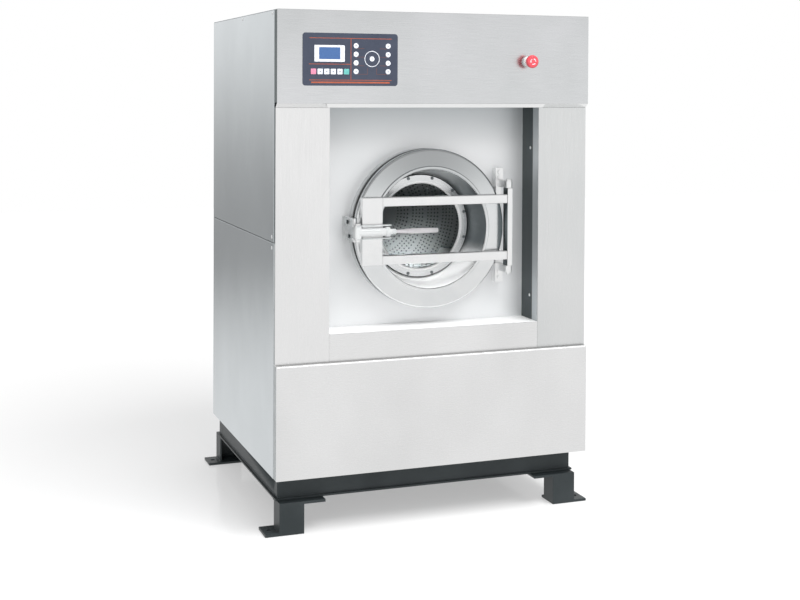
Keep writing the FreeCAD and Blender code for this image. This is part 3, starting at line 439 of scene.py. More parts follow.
def roundedRectangle(x0, x1, z0, z1, r, steps):
    centres = ((x1 - r, z1 - r), (x0 + r, z1 - r), (x0 + r, z0 + r), (x1 - r, z0 + r))
    points = []
    for quarter, (x, z) in enumerate(centres):
        for i in range(steps + 1):
            a = math.pi / 2 * (quarter + i / steps)
            points.append((x + r * math.cos(a), z + r * math.sin(a)))
    return points


# Folded sheet panels: the solids with their bends rounded
sheetBend = 1.4
panels = {
    "left_upper_panel": "sidePanel", "left_lower_panel": "sidePanel",
    "right_upper_panel": "sidePanel", "right_lower_panel": "sidePanel",
    "top_cover": "sidePanel", "rear_panel": "sidePanel",
    "control_fascia": "fascia", "left_column": "column", "right_column": "rightColumn",
    "sill_panel": "lowerPanel", "lower_front_panel": "lowerPanel", "door_surround": "surround",
}
panelPieces = {
    node: easedSolid(node, look[finish], sheetBend) for node, finish in panels.items()}

# Tests for painted faces: mm from a plane that still count as on it, and how far a face turns to an axis
onPlane = 0.3
straight = 0.9
leaning = 0.7
lipSlope = {"down": 0.5, "forward": 0.3}

# The lip under the fascia and the top of the sill are paler, as painted highlights, and the right wall of the
# door recess darker, as painted shade
recessHalf = boxOf("sill_panel")[1].x
paintFaces(panelPieces["control_fascia"], look["paleFold"],
           lambda at, facing: facing.z < -lipSlope["down"] and facing.y < -lipSlope["forward"])
paintFaces(panelPieces["sill_panel"], look["sillTop"], lambda at, facing: facing.z > straight)
paintFaces(panelPieces["right_column"], look["recessWall"],
           lambda at, facing: abs(at.x - recessHalf) < onPlane and facing.x < -straight)


# Rolled lip under the fascia, above the door recess, with its ends flared outwards, paler as a painted
# highlight
def fasciaLip(s):
    low, high = boxOf("right_column")
    start = boxOf("control_fascia")[0].y
    profile = [(start + s["step"], high.z + s["tall"]), (start + s["deep"], high.z), (low.y, high.z)]
    flare = s["flare"] / (low.y - start)
    bm = bmesh.new()
    rightEnd = startPrism(bm, [(-recessHalf - (low.y - y) * flare, y, z) for y, z in profile])
    for vert in rightEnd:
        vert.co.x = -vert.co.x
    finishPiece("fascia_lip", bm, look["paleFold"], "cabinet", weighted=True)


# Folded return along the front of the recess's right wall, in a steel darker than the column's front, as
# painted shade
def recessReturn(s):
    low, high = boxOf("right_column")
    bm = bmesh.new()
    addBox(bm, (recessHalf - s["proud"], low.y + s["back"], boxOf("sill_panel")[1].z),
           (recessHalf, low.y + s["deep"], high.z))
    ease(bm, s["edge"], segments=2)
    finishPiece("recess_return", bm, look["recessReturn"], "cabinet", weighted=True)


# Rolled edge along the top of the lower front panel, pale as a painted highlight
def lowerEdge(s):
    low, high = boxOf("lower_front_panel")
    bm = bmesh.new()
    addBox(bm, (low.x + s["end"], low.y - s["proud"], high.z - s["drop"] - s["tall"]),
           (high.x - s["end"], low.y + s["sunk"], high.z - s["drop"]))
    ease(bm, s["proud"], segments=3)
    finishPiece("lower_panel_edge", bm, look["sillTop"], "cabinet", weighted=True)


fasciaLip({"step": 0.4, "tall": 11.4, "deep": 6.5, "flare": 16.0})
lowerEdge({"end": 2.0, "proud": 0.5, "sunk": 1.0, "drop": 1.2, "tall": 4.0})
recessReturn({"proud": 0.8, "back": 1.0, "deep": 38.0, "edge": 0.2})
print("panels formed:", len(panels))

# Floor stand
standEdge = 1.6
feet = ["foot_" + end + "_" + side for end in ("front", "rear") for side in ("left", "right")]
for node in ("base_frame", *feet, "tub_saddles"):
    easedSolid(node, look["black"], standEdge)
print("floor stand formed")

# Hinge and latch pieces, each with its finish and the width of its machined edges
machined = {
    "hinge_brackets": ("bright", 1.5), "latch_pin": ("bright", 1.0), "hinge_pin": ("bright", 1.0),
    "latch_lever": ("lever", 1.2), "latch_keeper": ("paintedShadeSteel", 0.8),
    "yoke_hinge_post": ("bright", 0.8), "latch_grip": ("grip", 0.6),
}
machinedPieces = {
    node: easedSolid(node, look[finish], edge) for node, (finish, edge) in machined.items()}
paintFaces(machinedPieces["yoke_hinge_post"], look["shadedBar"], lambda at, facing: facing.x < -straight)


# The keeper is bright in front and on top, as painted highlight, its other faces keep a darker steel as
# painted shade, and its two bolts are dark
def paintKeeper(s):
    low, high = boxOf("latch_keeper")
    boltY = (low.y + s["catch"] + high.y - s["plate"]) / 2
    boltHeights = (high.z - s["edge"], low.z + s["edge"])

    def onBolt(at, facing):
        beside = any(math.hypot(at.y - boltY, at.z - z) < s["radius"] for z in boltHeights)
        return beside and at.x < low.x + s["reach"] and abs(at.x - low.x - s["head"]) > onPlane

    keeper = machinedPieces["latch_keeper"]
    paintFaces(keeper, look["bright"], lambda at, facing: facing.y < -leaning or facing.z > leaning)
    paintFaces(keeper, look["recessWall"], onBolt)


paintKeeper({"catch": 5.0, "plate": 4.0, "radius": 6.4, "edge": 13.5, "head": 4.0, "reach": 8.8})


# Carrier across the door: latch plate, two bars to the hinge post, lugs beside the lever and
# pads on the door ring
def doorYoke(s):
    postLow = boxOf("yoke_hinge_post")[0]
    pin = sum(boxOf("latch_pin"), Vector()) / 2
    front, back = postLow.y, postLow.y + s["thick"]
    plateRight = s["plateLeft"] + s["plateWidth"]
    top, bottom = doorZ + s["height"] / 2, doorZ - s["height"] / 2
    lug = s["lugInner"] + s["lug"]
    bm = bmesh.new()
    addBox(bm, (s["plateLeft"], front, bottom), (plateRight, back, top))
    for z in (bottom, top - s["bar"]):
        addBox(bm, (plateRight, front + s["step"], z + s["step"]),
               (postLow.x, back, z + s["bar"] - s["step"]))
    ease(bm, s["edge"], segments=4)
    lugs = bmesh.new()
    addBox(lugs, (s["plateLeft"] + s["step"], front - s["base"], doorZ - lug),
           (plateRight - s["step"], front + s["edge"], doorZ + lug))
    ease(lugs, s["fineEdge"], segments=2)
    nose = [(pin.x + s["eye"] * math.cos(a), pin.y + s["eye"] * math.sin(a))
            for a in (math.pi * (1 + i / s["noseSteps"]) for i in range(s["noseSteps"] + 1))]
    outline = nose + [(pin.x + s["reach"], pin.y), (pin.x + s["reach"], front + s["edge"]),
                      (pin.x - s["eye"], front + s["edge"])]
    for z in (doorZ - lug, doorZ + s["lugInner"]):
        addPlate(lugs, outline, z, z + s["lug"])
    for sign, z0, z1 in ((-1, bottom, top), (1, bottom, bottom + s["bar"]), (1, top - s["bar"], top)):
        rise = (z1 - z0 - 2 * s["edge"]) / s["padSteps"]
        heights = [z0 + s["edge"] + rise * i for i in range(s["padSteps"] + 1)]
        inner, outer = (
            [(sign * math.sqrt(r ** 2 - (z - doorZ) ** 2), z) for z in heights] for r in s["padRadii"])
        addPrism(lugs, outer + inner[::-1], back - s["edge"], back + s["padDeep"])
    joined = bpy.data.meshes.new("yokeLugs")
    lugs.to_mesh(joined)
    lugs.free()
    bm.from_mesh(joined)
    bpy.data.meshes.remove(joined)
    piece = finishPiece("door_yoke_formed", bm, look["bright"], bodyOf["door_yoke"],
                        ("door_yoke",), weighted=True)
    # The front faces of the lugs take the darker steel, as painted shade beside the lever
    lugFace = front - s["base"] - s["clear"]
    paintFaces(piece, look["paintedShadeSteel"], lambda at, facing: facing.y < -straight and at.y < lugFace)


doorYoke({"thick": 20.0, "plateLeft": -230.0, "plateWidth": 65.0, "height": 202.0, "bar": 28.0,
          "step": 0.4, "edge": 2.4, "fineEdge": 0.7, "base": 2.0, "clear": 1.0, "lugInner": 17.3, "lug": 4.0,
          "eye": 12.0, "reach": 106.0, "noseSteps": 12, "padRadii": (196.0, 232.0), "padSteps": 8,
          "padDeep": 12.0})
print("door carrier and latch formed")


# Faces across the thickness, between a loop on one layer and its like on the other
def closeRim(bm, rim):
    first, second = rim
    for k in range(len(first)):
        bm.faces.new((first[k], first[k - 1], second[k - 1], second[k]))


# Perforated sheet closed to a ring: cells with an eight-sided hole in each, between two layers.
# place(layer, turn, along) puts a corner; the two open rims of each layer are returned
def perforate(bm, s, place):
    steps = [(2, 1), (2, 2), (1, 2), (0, 2), (0, 1), (0, 0), (1, 0), (2, 0)]
    sides = len(steps)
    made = {}

    def spot(layer, across, along):
        turn = math.pi * across / s["columns"]
        return bm.verts.new(Vector(place(layer, turn, along / (2 * s["rows"]))) * mm)

    def shared(layer, across, along):
        key = (layer, across % (2 * s["columns"]), along)
        if key not in made:
            made[key] = spot(*key)
        return made[key]

    for i in range(s["columns"]):
        for j in range(s["rows"]):
            holes = []
            for layer in s["layers"]:
                border = [shared(layer, 2 * i + a, 2 * j + b) for a, b in steps]
                hole = []
                for k in range(sides):
                    turn = 2 * math.pi * k / sides
                    hole.append(spot(layer, 2 * i + 1 + s["wide"] * math.cos(turn),
                                     2 * j + 1 + s["long"] * math.sin(turn)))
                for k in range(sides):
                    bm.faces.new((border[k], border[k - 1], hole[k - 1], hole[k]))
                holes.append(hole)
            closeRim(bm, holes)
    return [[[shared(layer, across, along) for across in range(2 * s["columns"])] for layer in s["layers"]]
            for along in (0, 2 * s["rows"])]


# Perforated drum wall
def perforatedWall(s):
    low, high = boxOf("drum_shell")
    depth = high.y - low.y
    columns = round(2 * math.pi * high.x / s["pitch"])
    rows = round(depth / s["pitch"])
    bm = bmesh.new()
    rims = perforate(bm, {
        "columns": columns, "rows": rows, "layers": (high.x - s["wall"], high.x),
        "wide": 2 * s["hole"] / s["pitch"], "long": 2 * s["hole"] * rows / depth},
        lambda r, turn, along: (r * math.cos(turn), low.y + along * depth, doorZ + r * math.sin(turn)))
    for rim in rims:
        closeRim(bm, rim)
    finishPiece("drum_shell_perforated", bm, look["drum"], "drum", ("drum_shell",))


# Drum back: a plain middle and perforated zones with narrow plain bands between them
def perforatedBack(s):
    low, high = boxOf("drum_back")
    bm = bmesh.new()
    outerRim = None
    for start, end in (*s["zones"], (s["lastZone"], high.x)):
        width = end - start
        columns = round(math.pi * (start + end) / s["pitch"])
        rows = round(width / s["pitch"])
        innerRim, nextRim = perforate(bm, {
            "columns": columns, "rows": rows, "layers": (low.y, high.y),
            "wide": 2 * s["hole"] / s["pitch"], "long": 2 * s["hole"] * rows / width},
            lambda y, turn, along: ((start + along * width) * math.cos(turn), y,
                                    doorZ + (start + along * width) * math.sin(turn)))
        for side in (0, 1):
            if outerRim:
                loops = (outerRim[side], innerRim[side])
                edges = [bm.edges.get((loop[k], loop[k - 1])) for loop in loops for k in range(len(loop))]
                bmesh.ops.bridge_loops(bm, edges=edges)
            else:
                bm.faces.new(innerRim[side])
        outerRim = nextRim
    closeRim(bm, outerRim)
    piece = finishPiece("drum_back_perforated", bm, look["drumBack"], "drum", ("drum_back",))
    # The walls of the holes take the dark steel, as painted shade inside them
    paintFaces(piece, look["recessWall"], lambda at, facing: abs(facing.y) < s["holeWall"])


lifterEdge = 2.0
perforatedWall({"wall": 2.0, "pitch": 20.0, "hole": 3.2})
perforatedBack({"zones": ((84, 132), (140, 188), (196, 244), (252, 300)), "lastZone": 308, "pitch": 12.0,
                "hole": 3.0, "holeWall": 0.5})
easedSolid("drum_lifters", look["drum"], lifterEdge)
print("drum formed")


# Bolts of the clamp ring: washers under domed hexagon heads, with their nuts behind
def clampBolts(s):
    low, high = boxOf("clamp_ring_bolts")
    tall = clampFace - low.y
    dome = [(s["domeEdge"], tall - s["dome"]), (s["crownEdge"], tall - s["crown"]), (0, tall)]
    bm = bmesh.new()
    for i in range(s["count"]):
        angle = 2 * math.pi * (i + 0.5) / s["count"]
        x = s["circle"] * math.cos(angle)
        z = doorZ + s["circle"] * math.sin(angle)
        hexagon = polygon(x, z, s["head"], 6, angle)
        addRing(bm, x, z, s["washer"], 0, clampFace - s["washerThick"], clampFace, s["steps"])
        addPrism(bm, hexagon, clampFace - tall + s["dome"], clampFace - s["washerThick"])
        addTurned(bm, dome, (x, clampFace, z), (0, -1, 0), s["steps"])
        addPrism(bm, hexagon, high.y - s["nutThick"], high.y)
    finishPiece("clamp_ring_bolts_formed", bm, look["bolt"], "door", ("clamp_ring_bolts",))


# Bright bevelled bead where the clamp ring meets the glass
def clampBead(s):
    ring = nodes["glass_clamp_ring"].data.vertices
    inner = min(math.hypot(v.co.x / mm, v.co.z / mm - doorZ) for v in ring)
    outer = inner + s["width"]
    front, back = clampFace - s["proud"], boxOf("door_glass")[0].y - s["gap"]
    outline = [(outer, front), (inner + s["flat"], front), (inner, back), (outer, back), (outer, front)]
    bm = bmesh.new()
    addTurned(bm, outline, (0, 0, doorZ), (0, 1, 0), s["steps"])
    finishPiece("clamp_bead", bm, look["bright"], "door", weighted=True)


clampFace = boxOf("glass_clamp_ring")[0].y
clampBolts({"count": 12, "circle": 152.0, "head": 4.6, "domeEdge": 3.864, "crownEdge": 3.22, "dome": 0.7,
            "crown": 0.2, "washer": 5.0, "washerThick": 0.8, "nutThick": 4.0, "steps": 24})
clampBead({"width": 8.0, "flat": 4.0, "proud": 0.8, "gap": 0.4, "steps": 128})

sideLow = boxOf("left_upper_panel")[0]
columnLow, columnHigh = boxOf("right_column")
seamZ = (sideLow.z + boxOf("left_lower_panel")[1].z) / 2  # between the upper and the lower side panel


# Button-head screws on the sides and on the right wall of the door recess
def panelScrews(s):
    front = sideLow.y + s["fromFront"]
    middle = (boxOf("control_fascia")[0].y + boxOf("rear_panel")[1].y) / 2
    top = boxOf("top_cover")[1].z - s["fromTop"]
    onSide = ((front, top), (middle, top), (front, seamZ - s["fromSeam"]), (front, seamZ + s["fromSeam"]))
    inRecess = (columnHigh.z - s["underFascia"], boxOf("sill_panel")[1].z + s["overSill"])
    spots = [(x, y, z, side) for x, side in ((sideLow.x, -1), (-sideLow.x, 1)) for y, z in onSide]
    spots += [(columnLow.x, columnLow.y + s["inward"], z, -1) for z in inRecess]
    tall, radius = s["tall"], s["radius"]
    dome = [(0, tall - s["sunk"]), (s["socket"], tall - s["sunk"]), (s["socket"], tall),
            (s["crown"], s["shoulder"]), (radius, s["rim"]), (radius, 0), (0, 0)]
    bm = bmesh.new()
    for x, y, z, side in spots:
        addTurned(bm, dome, (x, y, z), (side, 0, 0), s["steps"])
    finishPiece("panel_screws_formed", bm, look["bright"], "cabinet", ("panel_screws",))


# Strips in the grooves beside the front pieces: dark above the side seam, as painted shade in the groove, and
# pale below it
def cornerSeals(s):
    sheet = s["sheet"]
    spans = {
        "grooveShade": [("control_fascia", columnHigh.z + s["lip"], boxOf("control_fascia")[1].z - sheet),
                     ("left_column", seamZ, columnHigh.z - sheet)],
        "seamPale": [("left_column", columnLow.z, seamZ),
                     ("lower_front_panel", boxOf("lower_front_panel")[0].z, columnLow.z - sheet)],
    }
    for finish, strips in spans.items():
        bm = bmesh.new()
        for node, z0, z1 in strips:
            y0 = boxOf(node)[0].y + sheet
            for sign in (-1, 1):
                addBox(bm, (sign * s["inner"], y0, z0), (sign * s["outer"], sideLow.y, z1))
        ease(bm, s["edge"], segments=2)
        finishPiece("groove_strips_" + finish, bm, look[finish], "cabinet", weighted=True)


panelScrews({"tall": 1.5, "radius": 5.0, "socket": 1.8, "sunk": 0.5, "crown": 3.5, "shoulder": 1.35,
             "rim": 0.45, "steps": 24, "fromFront": 20, "fromTop": 11, "fromSeam": 16, "underFascia": 127,
             "overSill": 74, "inward": 57})
cornerSeals({"outer": 499.2, "inner": 492.0, "sheet": 2.0, "lip": 14.0, "edge": 0.8})
print("fasteners and seals made")

# Printed overlay: lines, lamps and the mimic ring, as thin layers on the film.
# Places on it are measured from its lower left corner
film = boxOf("control_overlay")[0]
inkDepth = 0.12


def inked(name, bm, material):
    finishPiece(name, bm, look[material], "cabinet")


def addStroke(bm, x0, x1, z0, z1):
    addBox(bm, (film.x + x0, film.y - inkDepth, film.z + z0), (film.x + x1, film.y, film.z + z1))


# Each rule of the frame as left, right, bottom and top
def orangeLines(s):
    bm = bmesh.new()
    for stroke in s.values():
        addStroke(bm, *stroke)
    inked("overlay_orange_lines", bm, "filmOrange")


# Lines from the lamps to the mimic ring, as height and distance from its middle, and two uprights
def linkLines(s):
    bm = bmesh.new()
    half = s["width"] / 2
    for side in (-1, 1):
        for z, reach in s["branches"]:
            near, far = sorted((s["middle"] + side * reach, s["middle"] + side * s["end"]))
            addStroke(bm, near, far, z - half, z + half)
        stem = s["middle"] + side * s["stem"]
        addStroke(bm, stem - half, stem + half, *s["stemHeights"])
    inked("overlay_link_lines", bm, "filmBrown")


def lampDiscs(s):
    white = bmesh.new()
    grey = bmesh.new()
    discFace = film.y - s["thick"]
    markFace = discFace - inkDepth
    ringX, ringZ = film.x + s["ring"][0], film.z + s["ring"][1]
    for x in s["columns"]:
        for z in s["heights"]:
            addRing(white, film.x + x, film.z + z, s["disc"], 0, discFace, film.y, steps=32)
            addRing(grey, film.x + x, film.z + z, *s["mark"], markFace, discFace, steps=20)
    addRing(white, ringX, ringZ, *s["ringRadii"], film.y - s["ringThick"], film.y, steps=64)
    addRing(white, ringX, ringZ, s["hub"], 0, discFace, film.y, steps=32)
    triangle = [(ringX - s["half"], ringZ - s["below"]), (ringX + s["half"], ringZ - s["below"]),
                (ringX, ringZ + s["above"])]
    addPrism(grey, triangle, markFace, discFace)
    inked("overlay_lamps", white, "filmWhite")
    inked("overlay_lamp_marks", grey, "filmGrey")


# A triangle on each key between the first and the last, a quarter turn on from key to key
def keyMarks(s):
    for i in s["keys"]:
        key = "key_" + str(i)
        low, high = boxOf(key)
        turn = math.pi / 2 * (i - s["keys"][0])
        bm = bmesh.new()
        triangle = polygon((low.x + high.x) / 2, (low.z + high.z) / 2, s["radius"], 3, turn)
        addPrism(bm, triangle, low.y - inkDepth, low.y)
        finishPiece(key + "_mark", bm, look["filmGrey"], bodyOf[key])


def displayPane(s):
    low, high = boxOf("lcd_display")
    outline = roundedRectangle(
        low.x + s["side"], high.x - s["side"], low.z + s["below"], high.z - s["above"], s["corner"],
        steps=6)
    bm = bmesh.new()
    addPrism(bm, outline, low.y - s["thick"], low.y)
    finishPiece("display_pane", bm, look["display"], "cabinet")


orangeLines({"top": (20, 272, 137.2, 138.8), "bottom": (20, 272, 15.6, 17.4), "foot": (26, 266, 7.4, 11.8),
             "underDisplay": (19, 145, 61.8, 63.4), "divider": (145.2, 146.8, 17.4, 137.2)})
linkLines({"middle": 211, "width": 0.8, "branches": ((109, 24), (84, 22), (59, 24), (34, 14)), "end": 46,
           "stem": 14, "stemHeights": (34, 52)})
lampDiscs({"columns": (161.7, 261), "heights": (117, 92, 67, 42), "disc": 7.6, "thick": 0.3,
           "mark": (2.0, 0.9), "ring": (211, 79), "ringRadii": (23.4, 21.6), "ringThick": 0.2, "hub": 7.4,
           "half": 2.4, "below": 1.6, "above": 2.8})
keyMarks({"keys": (2, 3, 4, 5), "radius": 3.2})
displayPane({"side": 14, "below": 7.5, "above": 6, "corner": 1.5, "thick": 0.25})
keyLooks = {1: ("keyPink", "key_red"), 6: ("keyTeal", "key_green")}
controlEdges = {"key": 0.5, "overlay": 0.35, "display": 0.4, "collar": 1.0}
for i in range(1, 7):
    keyFinish, keySlot = keyLooks.get(i, ("keyWhite", "key_white"))
    easedSolid("key_" + str(i), look[keyFinish], controlEdges["key"])
easedSolid("control_overlay", look["film"], controlEdges["overlay"])
easedSolid("lcd_display", look["filmWhite"], controlEdges["display"])
print("controls printed")


# Stop button: turned head with a dished top, and three release arrows on it.
# The top is given as radius and depth below its rim, the skirt as radius and height above its back
def stopButton(s):
    low, high = boxOf("stop_head")
    x = (low.x + high.x) / 2
    z = (low.z + high.z) / 2
    tall = high.y - low.y
    bore, deep = s["bore"]
    outline = [(r, tall - d) for r, d in s["top"]] + [*s["skirt"], (bore, 0), (bore, deep), (0, deep)]
    bm = bmesh.new()
    addTurned(bm, outline, (x, high.y, z), (0, -1, 0), s["steps"])
    finishPiece("stop_head_formed", bm, look["stopRed"], "stop_knob", ("stop_head",))
    marks = bmesh.new()
    face = low.y + s["top"][0][1]
    inner, outer = s["arrowRadii"]
    sweep = [s["arrowTurn"] * i / s["arrowSteps"] for i in range(s["arrowSteps"] + 1)]
    barbs = [(r, s["arrowTurn"]) for r in s["barbRadii"]]
    arrow = [(outer, a) for a in sweep] + [barbs[1], ((inner + outer) / 2, s["tipTurn"]), barbs[0]]
    arrow += [(inner, a) for a in sweep[::-1]]
    for i in range(s["arrows"]):
        start = 2 * math.pi * i / s["arrows"]
        points = [(x + r * math.cos(start + a), z + r * math.sin(start + a)) for r, a in arrow]
        addPrism(marks, points, face - s["arrowThick"], face)
    finishPiece("stop_head_arrows", marks, look["filmWhite"], "stop_knob")


stopButton({"top": ((0, 1.6), (8, 1.3), (12, 0.4), (14.5, 0), (17.5, 1.4), (19.4, 4.2), (20, 7.5),
                    (19.6, 11.5)),
            "skirt": ((17.5, 2.5), (15.5, 0)), "bore": (8.06, 5), "steps": 64, "arrows": 3,
            "arrowRadii": (7.6, 9.4), "barbRadii": (6.2, 10.8), "arrowTurn": 1.05, "tipTurn": 1.5,
            "arrowSteps": 3, "arrowThick": 0.75})
easedSolid("stop_collar", look["palePlastic"], controlEdges["collar"])
print("stop button made")

rearFace = boxOf("rear_panel")[1].y


# Hose spigot of the drain with two barbs, given as radius and distance from the rear panel
def drainBarbs(s):
    first, last = s["barbs"][0][1], s["barbs"][-1][1]
    outline = [(s["bore"], first), *s["barbs"], (s["bore"], last), (s["bore"], first)]
    bm = bmesh.new()
    addTurned(bm, outline, (s["x"], rearFace, s["z"]), (0, 1, 0), s["steps"])
    finishPiece("drain_barbs", bm, look["greyPlastic"], "cabinet")


# Threads of the water inlets behind hexagon nuts
def inletThreads(s):
    reach = boxOf("inlet_valves")[1].y - rearFace
    start, bore = s["nutThick"], s["bore"]
    outline = [(bore, start), (s["shoulder"], start)]
    for turn in range(int((reach - s["plain"]) / s["pitch"])):
        crest = start + s["lead"] + s["pitch"] * turn
        outline += [(s["crest"], crest), (s["root"], crest + s["pitch"] / 2)]
    outline += [(s["tip"], reach), (bore, reach), (bore, start)]
    bm = bmesh.new()
    for x in s["x"]:
        addTurned(bm, outline, (x, rearFace, s["z"]), (0, 1, 0), s["steps"])
        addPrism(bm, polygon(x, s["z"], s["nut"], 6), rearFace, rearFace + start)
    finishPiece("inlet_threads", bm, look["brass"], "cabinet")


valveEdge = 1.5
drainBarbs({"x": -150, "z": 380, "bore": 37.5, "steps": 64,
            "barbs": ((38.3, 6), (39.6, 9), (38.4, 18), (38.4, 20), (39.6, 23), (38.3, 32))})
inletThreads({"x": (-200, -100), "z": 1350, "bore": 9, "shoulder": 13.6, "crest": 13.7, "root": 12.6,
              "tip": 12.2, "pitch": 1.8, "lead": 0.4, "plain": 6, "nut": 17, "nutThick": 4, "steps": 40})
easedSolid("drain_valve", look["greyPlastic"], valveEdge)
print("water fittings made")

# Solids whose shape is right as it is only take their finish
worn = {
    "door_ring": "door", "glass_clamp_ring": "clamp", "mouth_collar": "collar", "door_glass": "glass",
    "door_gasket": "rubber", "glass_gasket": "rubber", "drum_front_ring": "drum", "drum_shaft": "shaft",
    # The tub back takes the dark steel, as painted shade behind the drum
    "bearings": "shaft", "tub_shell": "tub", "tub_front": "tub", "tub_back": "recessWall",
    "drum_pulley": "iron", "motor_pulley": "iron", "drive_motor": "motor", "drive_belts": "rubber",
    "inlet_valves": "brass", "stop_stem": "greyPlastic",
}
for node, finish in worn.items():
    nodes[node].data.materials.clear()
    nodes[node].data.materials.append(look[finish])
print("solids finished:", len(worn))

# The dish inside the door ring has a satin finish, with painted light and shade in its colour
dish = {"mouth": 186.0, "depth": 4.0}
ringFront = boxOf("door_ring")[0].y
paintFaces(nodes["door_ring"], look["dish"], lambda at, facing: (
    math.hypot(at.x, at.z - doorZ) < dish["mouth"] and at.y > ringFront + dish["depth"]))


# Stage: a pale floor that is white to the camera and dims behind the machine in reflections
def stageFloor(s):
    bm = bmesh.new()
    bmesh.ops.create_grid(bm, x_segments=1, y_segments=1, size=s["reach"])
    mesh = bpy.data.meshes.new("stageFloor")
    bm.to_mesh(mesh)
    bm.free()
    floor = bpy.data.objects.new("stageFloor", mesh)
    bpy.context.scene.collection.objects.link(floor)
    floor.location.z = -s["drop"] * mm
    material = bpy.data.materials.new("paleFloor")
    material.use_nodes = True
    tree = material.node_tree
    tree.nodes.clear()
    rays = addNode(tree, "LightPath").outputs
    matt = addNode(tree, "BsdfDiffuse", {"Color": (s["pale"],) * 3 + (1.0,)})
    shine = addNode(tree, "BsdfGlossy", {"Roughness": s["blur"]})
    lit = addNode(tree, "MixShader", {
        "Fac": s["shine"], 1: matt.outputs["BSDF"], 2: shine.outputs["BSDF"]})
    place = addNode(tree, "TexCoord").outputs["Object"]
    distance = addNode(tree, "VectorMath", {0: place}, operation="LENGTH").outputs["Value"]
    lift = addNode(tree, "MapRange", {
        "Value": distance, "From Min": s["whiteFrom"], "From Max": s["whiteTo"],
        "To Min": s["whiteNear"], "To Max": s["whiteFar"]})
    white = addNode(tree, "Emission", {"Strength": lift.outputs["Result"]})
    share = addNode(tree, "Math", {0: rays["Is Camera Ray"], 1: s["glow"]}, operation="MULTIPLY")
    seen = addNode(tree, "MixShader", {
        "Fac": share.outputs["Value"], 1: lit.outputs["Shader"], 2: white.outputs["Emission"]})
    spot = addNode(tree, "SeparateXYZ", {0: place})
    behind = addNode(tree, "MapRange", {
        "Value": spot.outputs["Y"], "From Min": s["dimFrom"], "From Max": s["dimTo"],
        "To Min": s["dimNear"], "To Max": s["dimFar"]}, interpolation_type="SMOOTHSTEP")
    mirrored = addNode(tree, "Emission", {"Strength": behind.outputs["Result"]})
    glossy = addNode(tree, "MixShader", {
        "Fac": rays["Is Glossy Ray"], 1: seen.outputs["Shader"], 2: mirrored.outputs["Emission"]})
    output = addNode(tree, "OutputMaterial")
    tree.links.new(glossy.outputs["Shader"], output.inputs["Surface"])
    mesh.materials.append(material)


# World: white to the camera and through glass, soft light on matt surfaces, a dim back wall in reflections
def stageWorld(s):
    world = bpy.data.worlds.new("studio")
    bpy.context.scene.world = world
    world.use_nodes = True
    tree = world.node_tree
    tree.nodes.clear()
    rays = addNode(tree, "LightPath").outputs
    place = addNode(tree, "TexCoord")
    direction = addNode(tree, "SeparateXYZ", {0: place.outputs["Generated"]})
    rise = addNode(tree, "MapRange", {
        "Value": direction.outputs["Z"], "From Min": s["riseFrom"], "From Max": s["riseTo"],
        "To Min": s["backLow"], "To Max": s["backHigh"]}, interpolation_type="SMOOTHSTEP")
    front = addNode(tree, "MapRange", {
        "Value": direction.outputs["Y"], "From Min": s["backEnds"], "From Max": s["frontStarts"]},
        interpolation_type="SMOOTHSTEP")
    fall = addNode(tree, "MapRange", {
        "Value": direction.outputs["Z"], "From Min": s["fallFrom"], "From Max": s["fallTo"],
        "To Min": s["frontLow"], "To Max": s["frontHigh"]}, interpolation_type="SMOOTHSTEP")
    wall = addNode(tree, "Mix", {
        "Factor": front.outputs["Result"], "A": rise.outputs["Result"], "B": fall.outputs["Result"]},
        data_type="FLOAT")
    bounce = addNode(tree, "Mix", {
        "Factor": rays["Is Glossy Ray"], "A": s["soft"], "B": wall.outputs["Result"]}, data_type="FLOAT")
    seen = addNode(tree, "Math", {
        0: rays["Is Camera Ray"], 1: rays["Is Transmission Ray"]}, operation="MAXIMUM")
    strength = addNode(tree, "Mix", {
        "Factor": seen.outputs["Value"], "A": bounce.outputs["Result"], "B": 1.0}, data_type="FLOAT")
    background = addNode(tree, "Background", {
        "Color": (1.0, 1.0, 1.0, 1.0), "Strength": strength.outputs["Result"]})
    output = addNode(tree, "OutputWorld")
    tree.links.new(background.outputs["Background"], output.inputs["Surface"])


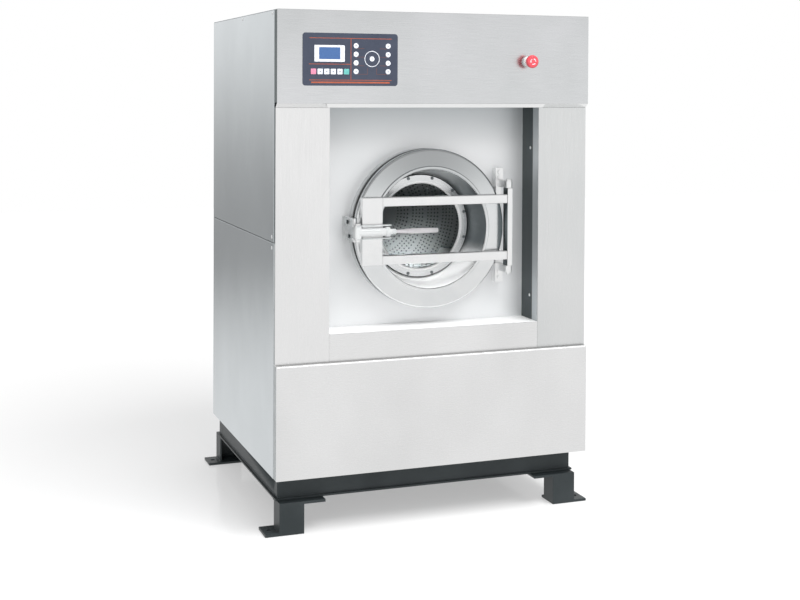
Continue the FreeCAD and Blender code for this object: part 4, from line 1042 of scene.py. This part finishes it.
# Soft lamps, in metres: a square panel, or a small spot where a cone is given in degrees
def addLamp(name, s):
    if "cone" in s:
        data = bpy.data.lights.new(name, "SPOT")
        data.spot_size = math.radians(s["cone"])
        data.spot_blend = 1.0
        data.shadow_soft_size = s["size"]
    else:
        data = bpy.data.lights.new(name, "AREA")
        data.size = s["size"]
    data.energy = s["watts"]
    lamp = bpy.data.objects.new(name, data)
    bpy.context.scene.collection.objects.link(lamp)
    lamp.visible_glossy = False
    lamp.location = s["at"]
    lamp.rotation_mode = "QUATERNION"
    lamp.rotation_quaternion = (Vector(s["to"]) - Vector(s["at"])).to_track_quat("-Z", "Y")


# Camera at the photograph's place: turns in degrees, lens and sensor in mm, farthest sight in metres
def photoCamera(s):
    data = bpy.data.cameras.new("photoCamera")
    data.sensor_width = s["sensor"]
    data.lens = s["lens"]
    data.shift_y = s["shift"]
    data.clip_end = s["sight"]
    camera = bpy.data.objects.new("photoCamera", data)
    bpy.context.scene.collection.objects.link(camera)
    turn = Matrix.Rotation(math.radians(-s["yaw"]), 4, "Z")
    tilt = Matrix.Rotation(math.radians(90 - s["pitch"]), 4, "X")
    roll = Matrix.Rotation(math.radians(s["roll"]), 4, "Z")
    camera.matrix_world = Matrix.Translation(Vector(s["at"]) * mm) @ turn @ tilt @ roll
    bpy.context.scene.camera = camera


stageFloor({"reach": 10.0, "drop": 0.3, "pale": 0.86, "blur": 0.12, "shine": 0.12, "glow": 0.32,
            "whiteFrom": 1.2, "whiteTo": 5.0, "whiteNear": 1.25, "whiteFar": 2.1,
            "dimFrom": 0.8, "dimTo": 6.0, "dimNear": 0.9, "dimFar": 0.4})
stageWorld({"riseFrom": -0.09, "riseTo": 0.07, "backLow": 0.42, "backHigh": 1.0, "backEnds": 0.5,
            "frontStarts": -0.3, "fallFrom": 0.03, "fallTo": 0.22, "frontLow": 1.12, "frontHigh": 0.5,
            "soft": 0.6})
addLamp("keyLight", {"at": (0.8, -2.4, 4.4), "to": (0, -0.2, 0.6), "size": 2.8, "watts": 240})
addLamp("fillLight", {"at": (-2.8, -3.4, 1.8), "to": (0, 0, 0.8), "size": 2.4, "watts": 40})
addLamp("drumLight", {
    "at": (0.0, -0.15, 0.6), "to": (0.14, 0.2, 0.71), "size": 0.05, "cone": 46, "watts": 22})
photoCamera({"at": (-1467.5, -4100.3, 1300.1), "yaw": 20.25, "pitch": 1.1, "roll": 0.265,
             "lens": 59.02, "sensor": 36.0, "shift": -0.2315, "sight": 100.0})
bpy.context.scene.view_settings.view_transform = "Standard"
print("stage, light and camera set")
